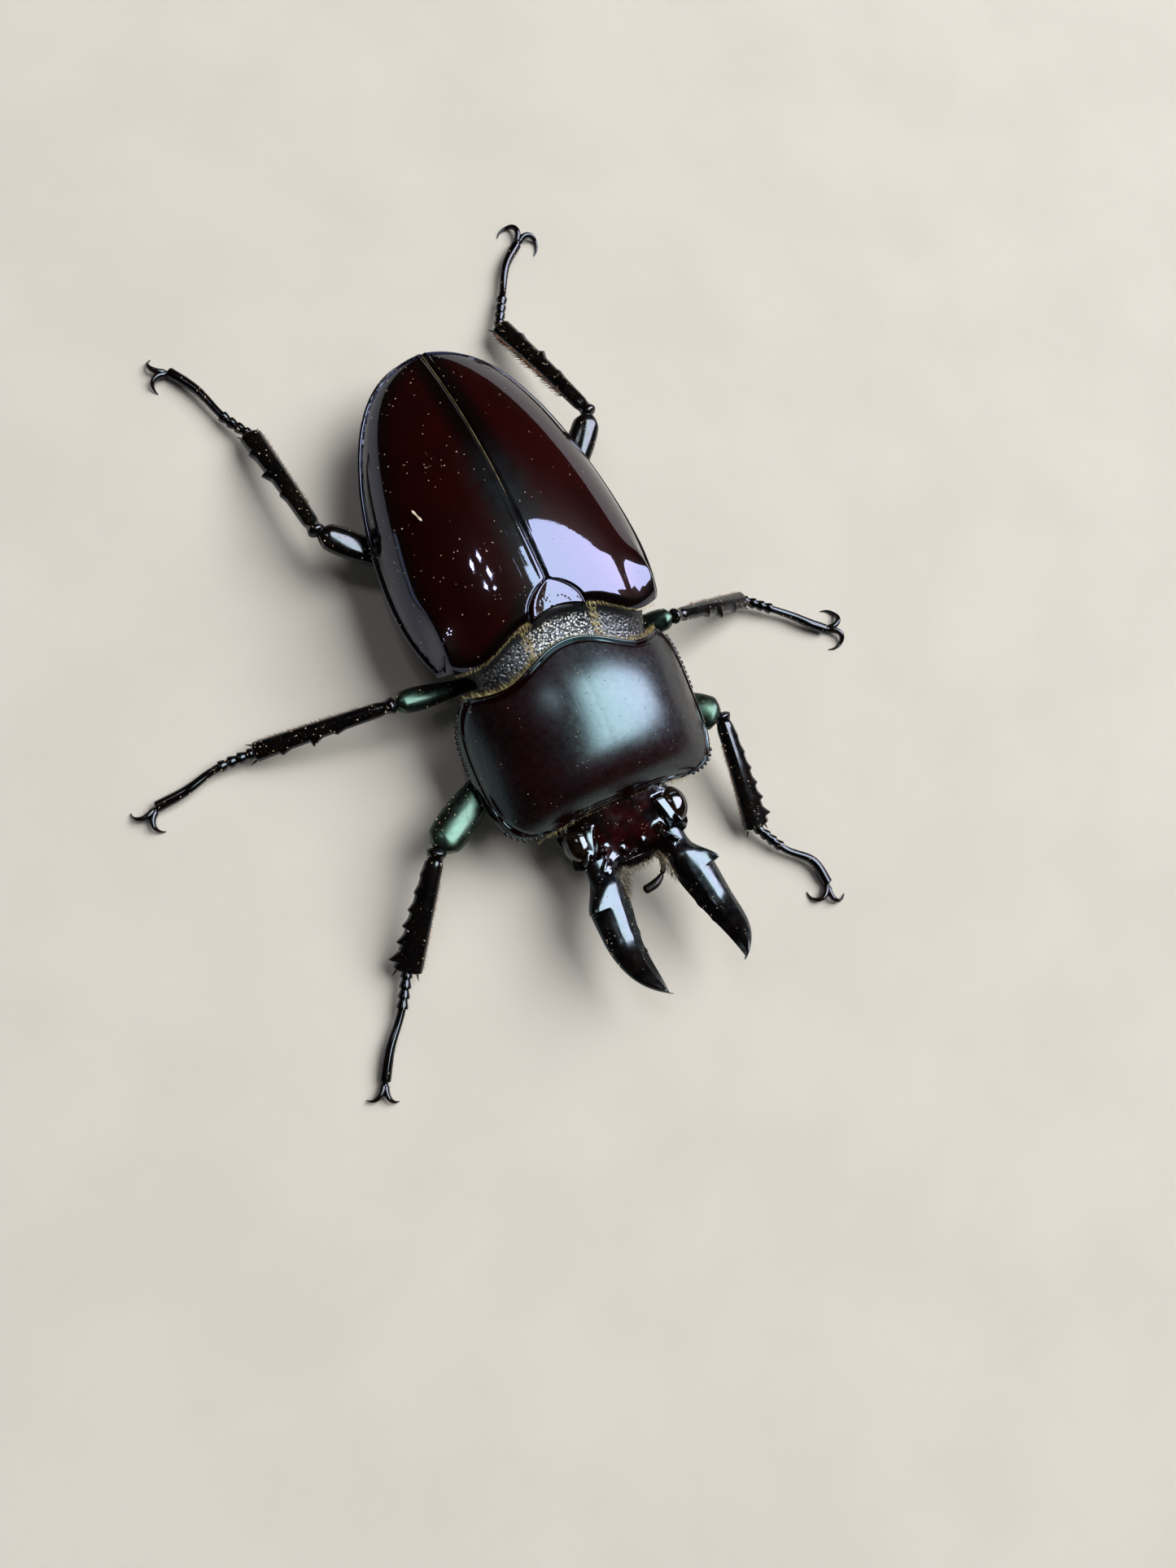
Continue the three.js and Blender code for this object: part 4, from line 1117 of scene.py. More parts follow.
def collar_piece():
    def place(u, v):
        x = u * COLLAR_HALF_WIDTH
        beside = np.minimum(np.abs(x) / SCUTELLUM["half_width"], 1)
        edge = np.where(beside < 1, scutellum_front(beside), wing_front_y(x))
        return x, lerp(edge - 3 * GAP, pronotum_rear_y(x) - 0.9, v)

    def height(x, share):
        rear = wing_dome_z(x, wing_front_y(x)) - 0.5
        front = pronotum_dome_z(x, PRONOTUM["rear_y"] - 0.9, PRONOTUM["thickness"]) - 0.62
        return lerp(rear, front, share ** 0.6)

    def top(u, v):
        x, y = place(u, v)
        band = 0.16 * bead(v, 0.12) * fade(np.abs(x), 1.7, 2.3)
        return x, y, height(x, v) + band

    def bottom(u, v):
        x, y = place(u, v)
        return x, y, height(x, v) - COLLAR_THICKNESS

    us, vs = np.linspace(-1, 1, 300), np.linspace(0, 1, 72)
    u, v = np.meshgrid(us, vs)
    off_middle = smooth(np.abs(u) * COLLAR_HALF_WIDTH, 2.4, 3.8)
    pitted = smooth(v, 0.11, 0.16)
    dark = np.maximum(0.9 * off_middle, 1 - pitted)
    return solid("collar_net", [shell(top, bottom, us, vs)], collar_net,
                 edge=[dark, dark], pitted=[pitted, 0 * pitted])


collar = grown(
    collar_piece(), PITS, Spacing=0.23, Depth=0.06, Inner=0.08, Outer=0.52, Material=collar_net)
stands_for(collar, "collar", "collar")

# %% [markdown]
# ## Head
#
# The head is a flat block that tucks under the pronotum. A smooth ledge parts the forehead from
# each eye, a crest runs on from it to the front corner, another one borders the hollow of the
# forehead, and all of them catch narrow lights. They are added to the block's top as rounded
# ridges along straight lines, and lower on its right side, where they are worn. The cheeks and the
# front are pitted, and the middle is dark red and smooth.

# %% Shape of the head
HEAD = {
    "rear_y": -16.75, "front_y": -22.3, "rim_z": 5.0, "top_z": 6.4, "bottom_z": 3.3,
    "brink_y": -17.3, "tilt": 0.37, "lobes": 1.15,
}
EYE_PLACE = {"left": (4.40, -19.45, 4.90), "right": (-4.15, -19.45, 4.60)}
EYE_RADII = (1.32, 1.60, 1.20)
CANTHUS = ((4.10, -20.6), (4.70, -21.85))
BROW = ((2.50, -20.8), (2.80, -21.5), (3.40, -22.1), (3.95, -22.7))
KNOBS = ((0.22, 2.5, -20.75, 0.34, 0.34), (0.20, 0.85, -21.3, 0.30, 0.30))
CORNERS = ((0.50, 4.70, -21.75, 0.36, 0.40),)
LOBES = ((1.35, 3.0, -22.65, 1.15, 1.05),)
HOLLOWS = (
    (0.25, 3.55, -21.3, 0.40, 0.45), (0.22, 0.0, -21.5, 1.2, 0.7), (0.12, 2.9, -19.6, 0.6, 1.2))
RIGHT_WEAR = 0.55


def head_half_width(y):
    cheeks = 4.4 + 0.5 * smooth(-y, 16.9, 18.6) + 0.42 * furrow(y + 21.2, 0.75)
    return cheeks - 0.85 * smooth(-y, 21.4, 22.4)


def ridge(x, y, start, end, width):
    """A rounded crest of height 1 along a straight line."""
    way_x, way_y = end[0] - start[0], end[1] - start[1]
    share = ((x - start[0]) * way_x + (y - start[1]) * way_y) / (way_x ** 2 + way_y ** 2)
    share = np.clip(share, 0, 1)
    apart = np.hypot(x - start[0] - share * way_x, y - start[1] - share * way_y)
    return furrow(apart, width)


def crest(x, y, corners, width):
    lines = [ridge(x, y, start, end, width) for start, end in zip(corners, corners[1:])]
    return np.maximum.reduce(lines)


def hills(x, y, rows):
    """The sum of hills, each a row of its height, its middle's x and y and its reach in x and y."""
    return sum(height * hump(x, y, *place) for height, *place in rows)


def head_rim_z(y):
    return HEAD["rim_z"] - 0.8 * smooth(-y, 19.6, 22.4)


def canthus_share(side, y):
    """1 on the smooth ledge between the forehead and the eye, and 0 off it."""
    inner = 2.72 + 0.31 * np.maximum(-18.7 - y, 0)
    across = smooth(side, inner - 0.15, inner + 0.25)
    across = across * fade(side, inner + 0.85, inner + 1.05)
    return across * fade(-y, 21.0, 21.6) * smooth(-y, 16.9, 17.3)


def head_top_z(x, y):
    side = np.abs(x)
    across = np.maximum(1 - (side / head_half_width(y)) ** 2.8, 0) ** 0.5
    fall, dip = np.maximum(HEAD["brink_y"] - y, 0), np.maximum(y - HEAD["brink_y"], 0)
    along = HEAD["top_z"] - (HEAD["tilt"] * fall + 0.9 * dip) - 0.25 * smooth(-y, 21.6, 22.6)
    height = head_rim_z(y) + (along - head_rim_z(y)) * across
    ledge = 6.18 - 0.12 * np.maximum(-18.6 - y, 0) - 0.6 * np.maximum(y + 18.8, 0)
    ledge = ledge - 0.16 * (side - 3.6)
    worn = np.where(x < 0, RIGHT_WEAR, 1.0)
    ledge = np.maximum(height, ledge - 0.6 * (1 - worn))
    height = lerp(height, ledge, canthus_share(side, y))
    crests = 0.32 * crest(side, y, CANTHUS, 0.26) + 0.45 * crest(side, y, BROW, 0.24)
    height = height + worn * (crests + hills(side, y, CORNERS))
    return height + hills(side, y, KNOBS) + hills(side, y, LOBES) - hills(side, y, HOLLOWS)


print("head is", round(2 * float(head_half_width(-19.35)), 1), "mm wide at the eyes")

# %% Build the head


def head_piece():
    def place(u, v):
        station = lerp(HEAD["rear_y"], HEAD["front_y"], v)
        lobes = HEAD["lobes"] * furrow(np.abs(u) - 0.56, 0.20)
        front = HEAD["front_y"] - lobes + 0.30 * np.abs(u) ** 6 + 0.15 * (1 - u * u) ** 2
        return u * head_half_width(station), lerp(HEAD["rear_y"], front, v)

    def top(u, v):
        x, y = place(u, v)
        return x, y, np.where(np.abs(u) == 1, head_rim_z(y), head_top_z(x, y))

    def bottom(u, v):
        x, y = place(u, v)
        depth = (1 - np.abs(u) ** 3) ** 0.6 * (1 - 0.3 * smooth(v, 0.75, 1))
        gula = 0.10 * furrow(np.abs(x) - 1.3, 0.12) * smooth(v, 0.1, 0.25)
        rim = head_rim_z(y) - 0.1
        return x, y, rim - (rim - HEAD["bottom_z"]) * depth + gula

    us, vs = rounded(-1, 1, 200), rounded(0, 1, 118)
    u, v = np.meshgrid(us, vs)
    x, y = place(u, v)
    cheeks = smooth(np.abs(x), 2.9, 3.9)
    pitted = np.maximum(cheeks, 0.7 * smooth(-y, 21.2, 21.9)) * smooth(1 - np.abs(u), 0.01, 0.06)
    pitted = pitted * (1 - canthus_share(np.abs(x), y))
    dark = np.maximum(smooth(np.abs(x), 1.9, 3.4), smooth(-y, 20.9, 21.8))
    return solid("head_cuticle", [shell(top, bottom, us, vs)], head_gloss,
                 edge=[dark, dark], pitted=[pitted, 0.6 * pitted])


head = grown(head_piece(), PITS, Spacing=0.21, Depth=0.05, Inner=0.06, Outer=0.34, Material=head_gloss)
stands_for(head, "head", "head")

# %% [markdown]
# ## Eyes
#
# A compound eye is a dome of thousands of six-sided lenses. An ico sphere has its vertices spread
# evenly over it, so its dual mesh turns each of them into a hexagon, and each hexagon is raised
# half a thousandth of a millimetre and shrunk, which leaves fine seams between the lenses.

# %% The tree that makes lenses


def lenses_tree():
    tree, given = growth("lenses", Radius=1.0, Rise=0.0005, Share=0.90, Material=None)
    ball = node(tree, "GeometryNodeMeshIcoSphere", {
        "Radius": in_metres(tree, given, "Radius"), "Subdivisions": 5})
    hexagons = node(tree, "GeometryNodeDualMesh", {0: out(ball)})
    raised = node(tree, "GeometryNodeExtrudeMesh", {
        "Mesh": out(hexagons), "Offset Scale": in_metres(tree, given, "Rise"),
        "Individual": True}, mode="FACES")
    shrunk = node(tree, "GeometryNodeScaleElements", {
        "Geometry": out(raised, "Mesh"), "Selection": out(raised, "Top"),
        "Scale": out(given, "Share")})
    joined = node(tree, "GeometryNodeJoinGeometry", {"Geometry": out(shrunk)})
    tree.links.new(out(given, "Geometry"), joined.inputs[0])
    domed = node(tree, "GeometryNodeSetShadeSmooth", {"Geometry": out(joined)})
    return ended(tree, out(domed), given)


LENSES = lenses_tree()


def moved(piece, turn, place):
    """The piece's mesh, in body millimetres about the origin, turned and put in its place."""
    piece.data.transform(Matrix.Translation(Vector(in_frame(place))) @ turn.to_4x4())
    return piece


for label, place in EYE_PLACE.items():
    piece = link(bpy.data.objects.new(f"eye_{label}_lenses", bpy.data.meshes.new("eye")))
    grown(piece, LENSES, Material=eye_lens)
    moved(piece, Matrix.Diagonal(EYE_RADII), place)
    stands_for(piece, "eye", f"eye_{label}")

# %% [markdown]
# ## Mandibles
#
# A small male has short, broad mandibles. Seen from above, the outer edge bulges to a sharp step
# near the base and then sweeps in to the tip. A crest along the upper side parts the convex,
# shining outer half from a flatter inner face. Outline and section are formulas of the share s of
# the way from base to tip, and the rings crowd where the outline turns fast.

# %% Outline and section of a mandible
MANDIBLE = {
    "base_y": -22.15, "tip_y": -33.0, "rise": 3.4, "base_z": 4.7, "depth": 2.15, "hinge_x": 3.7}
MANDIBLE_OPEN = {"left": 3, "right": 0}
MANDIBLE_SIDES = 64
MANDIBLE_ROOT = -0.08
MANDIBLE_RIDGES = (0.05, -0.42)


def mandible_outer(s):
    return 4.55 + 1.12 * smooth(s, 0, 0.3) - 2.6 * s ** 7


def mandible_inner(s):
    notch = 0.35 * furrow(s - 0.25, 0.2)
    tooth = 0.10 * furrow(s - 0.52, 0.03) + 0.07 * furrow(s - 0.66, 0.02)
    return 2.45 - notch + 0.45 * s ** 2 + 0.3 * smooth(s, 0.3, 0.8) - tooth


def mandible_rings(side):
    stations = np.concatenate([
        np.linspace(MANDIBLE_ROOT, 0, 8)[:-1], rounded(0, 1, 110), np.linspace(0.22, 0.32, 40)])
    stations = np.sort(stations)[:, None]
    s = np.maximum(stations, 0)
    angle = (2 * math.pi * np.arange(MANDIBLE_SIDES) / MANDIBLE_SIDES)[None, :]
    cos, sin = np.cos(angle), np.sin(angle)
    outer = mandible_outer(s)
    inner = np.minimum(mandible_inner(s), outer - lerp(0.5, 0.16, smooth(s, 0.92, 1.0)))
    middle, half = (outer + inner) / 2, (outer - inner) / 2
    deep = MANDIBLE["depth"] / 2 * (1 - 0.60 * s ** 1.6) * lerp(1.0, 0.35, smooth(s, 0.95, 1.0))
    deep = deep * lerp(0.55, 1.0, smooth(s, 0, 0.14))
    crest_at, facet_at = MANDIBLE_RIDGES
    plateau = 1 - 0.30 * (crest_at - cos)
    facet = 1 - 0.30 * (crest_at - facet_at) - 1.5 * (facet_at - cos)
    planed = (sin > 0) & (cos < crest_at)
    domed = np.where(sin > 0, sin - 0.6 * sin * (1 - sin), sin)
    body = np.where(planed, lerp(sin, np.minimum(plateau, facet), smooth(s, 0.1, 0.35)), domed)
    step = 0.62 * smooth(s, 0.06, 0.258) * fade(s, 0.262, 0.290)
    flange = np.maximum(0, cos) ** 1.5 * np.maximum(0, sin + 0.30)
    x = middle + half * cos + step * flange
    y = lerp(MANDIBLE["base_y"], MANDIBLE["tip_y"], stations) + 0 * cos
    lift = 0.55 * s ** 1.9 + 0.45 * smooth(s, 0.50, 0.98)
    raised = step * flange * (2.6 * np.maximum(0, cos) ** 2.5 if side > 0 else 1.5)
    z = MANDIBLE["base_z"] + MANDIBLE["rise"] * lift + deep * body + raised
    return np.stack([side * x, y, z], -1)


def turned(points, degrees, pivot):
    """Points turned about an upright line through the pivot."""
    cos, sin = math.cos(math.radians(degrees)), math.sin(math.radians(degrees))
    x, y = points[..., 0] - pivot[0], points[..., 1] - pivot[1]
    return np.stack([pivot[0] + x * cos - y * sin, pivot[1] + x * sin + y * cos, points[..., 2]], -1)


print("mandibles are", MANDIBLE["base_y"] - MANDIBLE["tip_y"], "mm long")

# %% Build the mandibles
for label, side in SIDES.items():
    rings = turned(mandible_rings(side), side * MANDIBLE_OPEN[label],
                   (side * MANDIBLE["hinge_x"], MANDIBLE["base_y"]))
    piece = solid(f"mandible_{label}_blade", [loft(rings)], mandible_gloss)
    stands_for(piece, "mandible", f"mandible_{label}")

# %% [markdown]
# ## Mouthparts and feelers
#
# Under the mandibles lie the upper lip, a chin plate and two palps, whose last joint is a small
# club. The feelers are elbowed: a long first joint, a chain of beads and a club of flat plates.
# They are folded back under the head here, as on a beetle that is being watched.

# %% Palps and feelers
PALPS = {
    "left": [(1.9, -22.4, 3.9), (1.9, -23.6, 4.2), (1.4, -24.3, 4.4), (0.6, -24.8, 4.4),
             (-0.6, -25.0, 4.3)],
    "right": [(-1.9, -22.4, 3.9), (-2.2, -23.6, 3.9), (-2.7, -24.5, 3.8), (-3.4, -26.2, 3.6)],
}
PALP_JOINTS = (0.16, 0.50)
FEELER_SHAFT = ((4.1, -21.2, 3.3), (4.7, -20.0, 2.9), (5.0, -18.2, 2.75))
FEELER_CLUB = (
    (5.0, -18.0, 2.65), (4.4, -17.7, 2.5), (3.6, -18.6, 2.3), (2.9, -20.2, 2.2), (2.6, -21.6, 2.2))
CLUB_FROM = 0.56


def rounded_ends(s, reach):
    """1 along a limb, falling round to 0 within reach of each end."""
    near = np.clip(np.minimum(s, 1 - s) / reach, 0, 1)
    return np.sqrt(np.maximum(1 - (1 - near) ** 2, 1e-4))


def palp_radii(s):
    waist = sum(0.45 * furrow(s - joint, 0.022) for joint in PALP_JOINTS)
    club = 0.23 + 0.15 * smooth(s, 0.5, 0.75)
    ends = rounded_ends(s, 0.06)
    return club * (1 - waist) * ends, 0.85 * club * (1 - waist) * ends


def bead_chain(s, beads):
    return np.abs(np.sin(math.pi * s * beads)) ** 0.45


def antenna_scape_radii(s):
    width = (0.20 + 0.14 * s ** 2) * rounded_ends(s, 0.06)
    return width, 0.9 * width


def antenna_club_radii(s):
    chain = 0.24 * (0.55 + 0.45 * bead_chain(np.minimum(s / CLUB_FROM, 1), 6))
    club = np.clip((s - CLUB_FROM) / (1 - CLUB_FROM), 0, 1)
    plates = 0.44 * (0.35 + 0.65 * bead_chain(club, 4)) * smooth(s, 0.54, 0.66)
    width = np.maximum(chain * fade(s, 0.54, 0.58), plates) * rounded_ends(s, 0.03)
    return width, np.minimum(width, 0.27)


for label, side in SIDES.items():
    flip = np.array([side, 1, 1])
    for name, places, radii, count in (
            ("scape", FEELER_SHAFT, antenna_scape_radii, 60),
            ("club", FEELER_CLUB, antenna_club_radii, 220)):
        rings = limb(path_through(places * flip), np.linspace(0, 1, count), radii, 24)
        piece = solid(f"antenna_{name}_{label}_fine", [rings], leg_gloss)
        stands_for(piece, "leg", f"antenna_{name}_{label}")
    rings = limb(path_through(PALPS[label]), np.linspace(0, 1, 130), palp_radii, 24)
    piece = solid(f"palp_{label}_joints", [rings], palp_amber)
    stands_for(piece, "palp", f"palp_{label}")

# %% Chin and upper lip
CHIN_Z = HEAD["bottom_z"] - 0.08
LIP_ROOT_Y = -22.2


def chin_top(u, v):
    return u * (1.9 - 0.5 * v), -19.6 - 2.4 * v, CHIN_Z + 0 * u


def chin_bottom(u, v):
    grain = 0.04 * np.sin(9 * v) * np.cos(5 * u)
    across, along = np.maximum(1 - u ** 4, 0), np.maximum(1 - (2 * v - 1) ** 4, 0)
    swell = 0.52 * np.sqrt(across) * np.sqrt(along)
    return u * (1.7 - 0.5 * v), -19.7 - 2.2 * v, CHIN_Z - swell + grain * (1 - u * u)


def lip_surface(half, narrowing, reach, root_z, fall, crown):
    """One side of the lip: a tongue from the head's edge with a notch in its tip."""
    def surface(u, v):
        notch = 0.12 * furrow(u, 0.3) * v
        y = LIP_ROOT_Y - reach * v * (1 - 0.2 * u ** 2) + notch
        return u * (half - narrowing * v ** 2), y, root_z - fall * v - crown * u * u
    return surface


us, vs = rounded(-1, 1, 70), rounded(0, 1, 60)
chin = solid("mentum_plate", [shell(chin_top, chin_bottom, us, vs)], belly_satin)
stands_for(chin, "belly", "mentum")
lip_top = lip_surface(half=1.5, narrowing=0.35, reach=0.75, root_z=4.95, fall=0.25, crown=0.1)
lip_bottom = lip_surface(half=1.4, narrowing=0.4, reach=0.65, root_z=4.40, fall=0.1, crown=0)
lip = solid("labrum_lip", [shell(lip_top, lip_bottom, us, vs)], head_gloss,
            edge=np.ones(2 * len(us) * len(vs)))
stands_for(lip, "head", "labrum")

# %% [markdown]
# ## Underside
#
# The trunk below the wing cases is a row of rings: a flattened dome above the side line and a low
# keel below it. The chest has a middle furrow and slanting seams, and the five belly plates overlap
# like roof tiles, each with a raised rear edge. The hips sit in it directly, so no cutting is
# needed.

# %% Body rings
BELLY = {"prothorax": 2.35, "metathorax": 1.95, "abdomen": 2.1, "tail": 4.9}
ABDOMEN = {"front_y": 6.2, "rear_y": 21.9, "segments": 5}
BODY_SIDES = 96
BELOW_PRONOTUM = PRONOTUM["thickness"] + 0.56
BESIDE_WINGS = WING_CASE["thickness"] + 0.4
BELOW_WINGS = WING_CASE["thickness"] + 1.1


def body_rings(y, half, side_z, top_z, bottom_z, top_power=1.15, relief=None):
    """Rings across the body at the stations y; relief(x, y) raises or sinks the underside in mm."""
    angle = 2 * math.pi * np.arange(BODY_SIDES) / BODY_SIDES
    y, half, side_z, top_z, bottom_z = [
        np.broadcast_to(np.asarray(values, float), np.shape(y))[:, None]
        for values in (y, half, side_z, top_z, bottom_z)]
    rise = np.abs(np.sin(angle))
    x = half * np.cos(angle)
    above = np.sin(angle) >= 0
    z = np.where(above, lerp(side_z, top_z, rise ** top_power), lerp(side_z, bottom_z, rise ** 0.8))
    if relief is not None:
        z = z - np.where(above, 0, relief(x, y) * np.minimum(rise * 3, 1))
    return np.stack([x, y + 0 * x, z], -1)


print("body rings have", BODY_SIDES, "sides")

# %% Chest


def prothorax_relief(x, y):
    side = np.abs(x)
    keel = 0.35 * furrow(x, 0.55) * smooth(-y, 7.5, 8.5) * fade(-y, 10.5, 12.0)
    seam = 0.10 * furrow(side - 3.2 - 0.35 * (y + 12.5), 0.10) * smooth(-y, 10.5, 11.5)
    return keel - seam


def metathorax_relief(x, y):
    side = np.abs(x)
    middle = 0.16 * furrow(x, 0.11) * smooth(y, -1.5, 0.0)
    slant = 0.10 * furrow(side - 3.4 - 0.55 * (y - 1.5), 0.10)
    cross = 0.10 * furrow(y - 3.9 - 0.06 * side, 0.09)
    return 0.30 * furrow(x, 0.6) * fade(y, -3.2, -1.8) - middle - slant - cross


CHEST_REAR, CHEST_FRONT = -7.7, -16.6
y = rounded(CHEST_REAR, CHEST_FRONT, 90)
ends = rounded_ends((y - CHEST_REAR) / (CHEST_FRONT - CHEST_REAR), 0.04)
prothorax = body_rings(
    y, (pronotum_half_width(y) - BELOW_PRONOTUM) * ends,
    pronotum_margin_z(y) - 0.55, pronotum_crown_z(y) - BELOW_PRONOTUM,
    BELLY["prothorax"] + 1.4 * smooth(-y, 13.5, 17.2) + 0.5 * smooth(y, -9, -7.1),
    top_power=2, relief=prothorax_relief)

y = rounded(-7.4, 6.1, 110)
waist = smooth(y, -6.6, -1.5)
metathorax = body_rings(
    y, lerp(5.6, wing_half_width(y) - BESIDE_WINGS, waist),
    lerp(5.2, wing_margin_z(y) - 0.6, waist), lerp(7.2, wing_crown_z(y) - BELOW_WINGS, waist),
    lerp(2.9, BELLY["metathorax"], smooth(y, -6.6, -2)), relief=metathorax_relief)

for name, rings in (("prothorax", prothorax), ("metathorax", metathorax)):
    stands_for(solid(f"{name}_chest", [loft(rings)], belly_satin), "belly", name)

# %% Belly plates


def plate_relief(start, end):
    def relief(x, y):
        lip = 0.10 * smooth(y, end - 0.55, end - 0.15)
        groove = 0.07 * furrow(y - (end - 0.62), 0.09)
        dimple = 0.12 * hump(np.abs(x), y, 4.6, (start + end) / 2, 1.0, 0.6)
        return lip - groove - dimple
    return relief


def plate_y(index):
    return lerp(ABDOMEN["front_y"], ABDOMEN["rear_y"], index / ABDOMEN["segments"])


def belly_section(y):
    """The belly's half width, the height of its side line and the height of its keel at y."""
    along = (y - ABDOMEN["front_y"]) / (ABDOMEN["rear_y"] - ABDOMEN["front_y"])
    keel = lerp(BELLY["abdomen"], BELLY["tail"], along ** 2.2)
    return wing_half_width(y) - BESIDE_WINGS, wing_margin_z(y) - 0.55, keel


def belly_plate(index):
    start, end = plate_y(index), plate_y(index + 1)
    last = index == ABDOMEN["segments"] - 1
    share = rounded(0, 1, 46)
    y = lerp(start + 0.02, end, share)
    taper = np.sqrt(np.maximum(1 - share ** 3, 0.01)) if last else 1 - 0.012 * smooth(share, 0.9, 1.0)
    half, side, keel = belly_section(y)
    top = np.maximum(wing_crown_z(y) - BELOW_WINGS, side + 0.3)
    bottom = np.minimum(lerp(side - 0.2, keel - 0.1 * share, taper), side - 0.4)
    rings = body_rings(
        y, half * taper, side, lerp(side + 0.3, top, taper), bottom, relief=plate_relief(start, end))
    return solid(f"abdomen_{index + 1}_plate", [loft(rings)], belly_satin)


for index in range(ABDOMEN["segments"]):
    stands_for(belly_plate(index), "belly", f"abdomen_{index + 1}")

# %% [markdown]
# ## Legs
#
# Every leg has the same five pieces: hip, thigh, shin, foot and claws. Only the joints' places and
# a few widths differ, so they are kept in two tables, one of widths for each pair of legs and one
# of places for each leg, and one function per piece turns a row of the tables into a shape. No
# two legs match, which is what makes a standing insect look alive.

# %% Where the joints are
JOINT_Z = {"ankle": 1.3, "toe": 0.85, "foot": 0.5}
LIMB = {
    "front": {"hip": (4.4, -9, 3.2), "coxa": (1.5, 1.25, 0.95), "femur": (1.6, 1.0),
              "tibia": (0.72, 1.2, 0.6),
              "teeth": ((0.22, 0.10), (0.36, 0.16), (0.50, 0.24), (0.63, 0.30), (0.76, 0.36),
                        (0.90, 0.55))},
    "middle": {"hip": (4.2, -3.9, 3.1), "coxa": (1.3, 1.15, 0.85), "femur": (1.0, 0.82),
               "tibia": (0.6, 0.84, 0.56), "teeth": ((0.42, 0.18), (0.58, 0.45), (0.80, 0.22))},
    "hind": {"hip": (5.0, 5.4, 2.9), "coxa": (2.0, 1.05, 0.8), "femur": (1.25, 0.85),
             "tibia": (0.66, 0.98, 0.58), "teeth": ((0.40, 0.16), (0.60, 0.42), (0.82, 0.20))},
}
LEGS = {
    "front_left": {
        "knee": (12.0, -14.1, 4.4), "ankle": (12.1, -24.1), "toe": (13.9, -26.8),
        "foot": (16.4, -31.0), "bow": -0.7, "claw_turn": -38, "claw_hook": 2.7},
    "front_right": {
        "knee": (-14.9, -15.6, 4.8), "ankle": (-20.3, -23.3), "toe": (-21.9, -26.0),
        "foot": (-25.0, -30.3), "bow": 0.2, "claw_turn": 4, "claw_hook": 1.9},
    "middle_left": {
        "knee": (10.9, -5.1, 6.4), "ankle": (20.0, -4.9), "toe": (24.0, -7.7),
        "foot": (26.8, -10.0), "bow": 0.1, "claw_turn": 22, "claw_hook": 3.3},
    "middle_right": {
        "knee": (-13.5, -3.6, 5.0), "ankle": (-24.7, -2.5), "toe": (-27.8, -2.6),
        "foot": (-32.9, -3.7), "bow": -0.2, "claw_turn": 32, "claw_hook": 2.2},
    "hind_left": {
        "knee": (12.4, 14.6, 4.7), "ankle": (9.4, 26.2), "toe": (11.2, 29.3),
        "foot": (14.6, 33.7), "bow": -0.4, "claw_turn": 2, "claw_hook": 3.4},
    "hind_right": {
        "knee": (-13.6, 11.8, 4.7), "ankle": (-15.0, 22.9), "toe": (-16.3, 25.1),
        "foot": (-19.0, 30.4), "bow": 0.3, "claw_turn": 48, "claw_hook": 2.3},
}
for name, leg in LEGS.items():
    leg["kind"], hand = name.split("_")
    leg["side"] = SIDES[hand]
    leg["teeth_side"] = -leg["side"] if leg["kind"] == "front" else leg["side"]
    leg.update(LIMB[leg["kind"]])
    leg["hip"] = np.array(leg["hip"]) * [leg["side"], 1, 1]
    leg["knee"] = np.array(leg["knee"])
    for joint, height in JOINT_Z.items():
        leg[joint] = np.array([*leg[joint], height])
print("legs:", list(LEGS))

# %% Hips and thighs
COXA_SIDES = 40


def coxa_part(leg):
    """A hip: an ellipsoid across the body, with a furrow round it where the thigh's ring starts."""
    wide, long, deep = leg["coxa"]
    angle = np.linspace(0, math.pi, COXA_SIDES)[1:-1, None]
    around = 2 * math.pi * np.arange(COXA_SIDES)[None, :] / COXA_SIDES
    swell = 1 - 0.07 * furrow(np.cos(angle) * leg["side"] - 0.55, 0.06)
    middle = leg["hip"] - [leg["side"] * (wide + 0.28), 0, 0.15]
    x = middle[0] + wide * np.cos(angle) + 0 * around
    y = middle[1] + long * swell * np.sin(angle) * np.cos(around)
    z = middle[2] + deep * swell * np.sin(angle) * np.sin(around)
    return loft(np.stack([x, y, z], -1))


def femur_part(leg):
    """A thigh: a flattened club, fullest near the knee, with a ring near the hip and a knee notch."""
    wide, deep = leg["femur"]
    path = path_through([leg["hip"], (leg["hip"] + leg["knee"]) / 2 - [0, 0, 0.3], leg["knee"]])

    def radii(s):
        belly = 0.5 + 0.5 * np.sin(math.pi * (0.93 * s) ** 2.2)
        ring = 1 - 0.22 * furrow(s - 0.13, 0.012) + 0.05 * furrow(s - 0.10, 0.02)
        ends = rounded_ends(s, 0.09)
        return wide * belly * ends * ring, deep * belly * ends * ring

    def push(s, angle):
        socket = -0.30 * smooth(s, 0.90, 1.0) * furrow(np.sin(angle), 0.45)
        return socket, np.zeros_like(socket)

    return limb(path, rounded(0, 1, 90), radii, 40, push)


for name, leg in LEGS.items():
    thigh_finish = leg_gloss if leg["kind"] == "hind" else thigh_satin
    for node_name, label, part_of in (("coxa", "hip", coxa_part), ("femur", "thigh", femur_part)):
        piece = solid(f"{node_name}_{name}_{label}", [part_of(leg)], thigh_finish)
        stands_for(piece, "leg", f"{node_name}_{name}")

# %% [markdown]
# The shin widens towards the foot. Its teeth are not separate pegs: the edge itself is pushed
# outwards and towards the foot wherever a tooth stands, so tooth and shin are one surface, as on
# the animal. Two movable spurs at its end are separate cones. The front shin is a digging blade
# and has the longest teeth.

# %% Shins
KNEE_INSET = 0.25


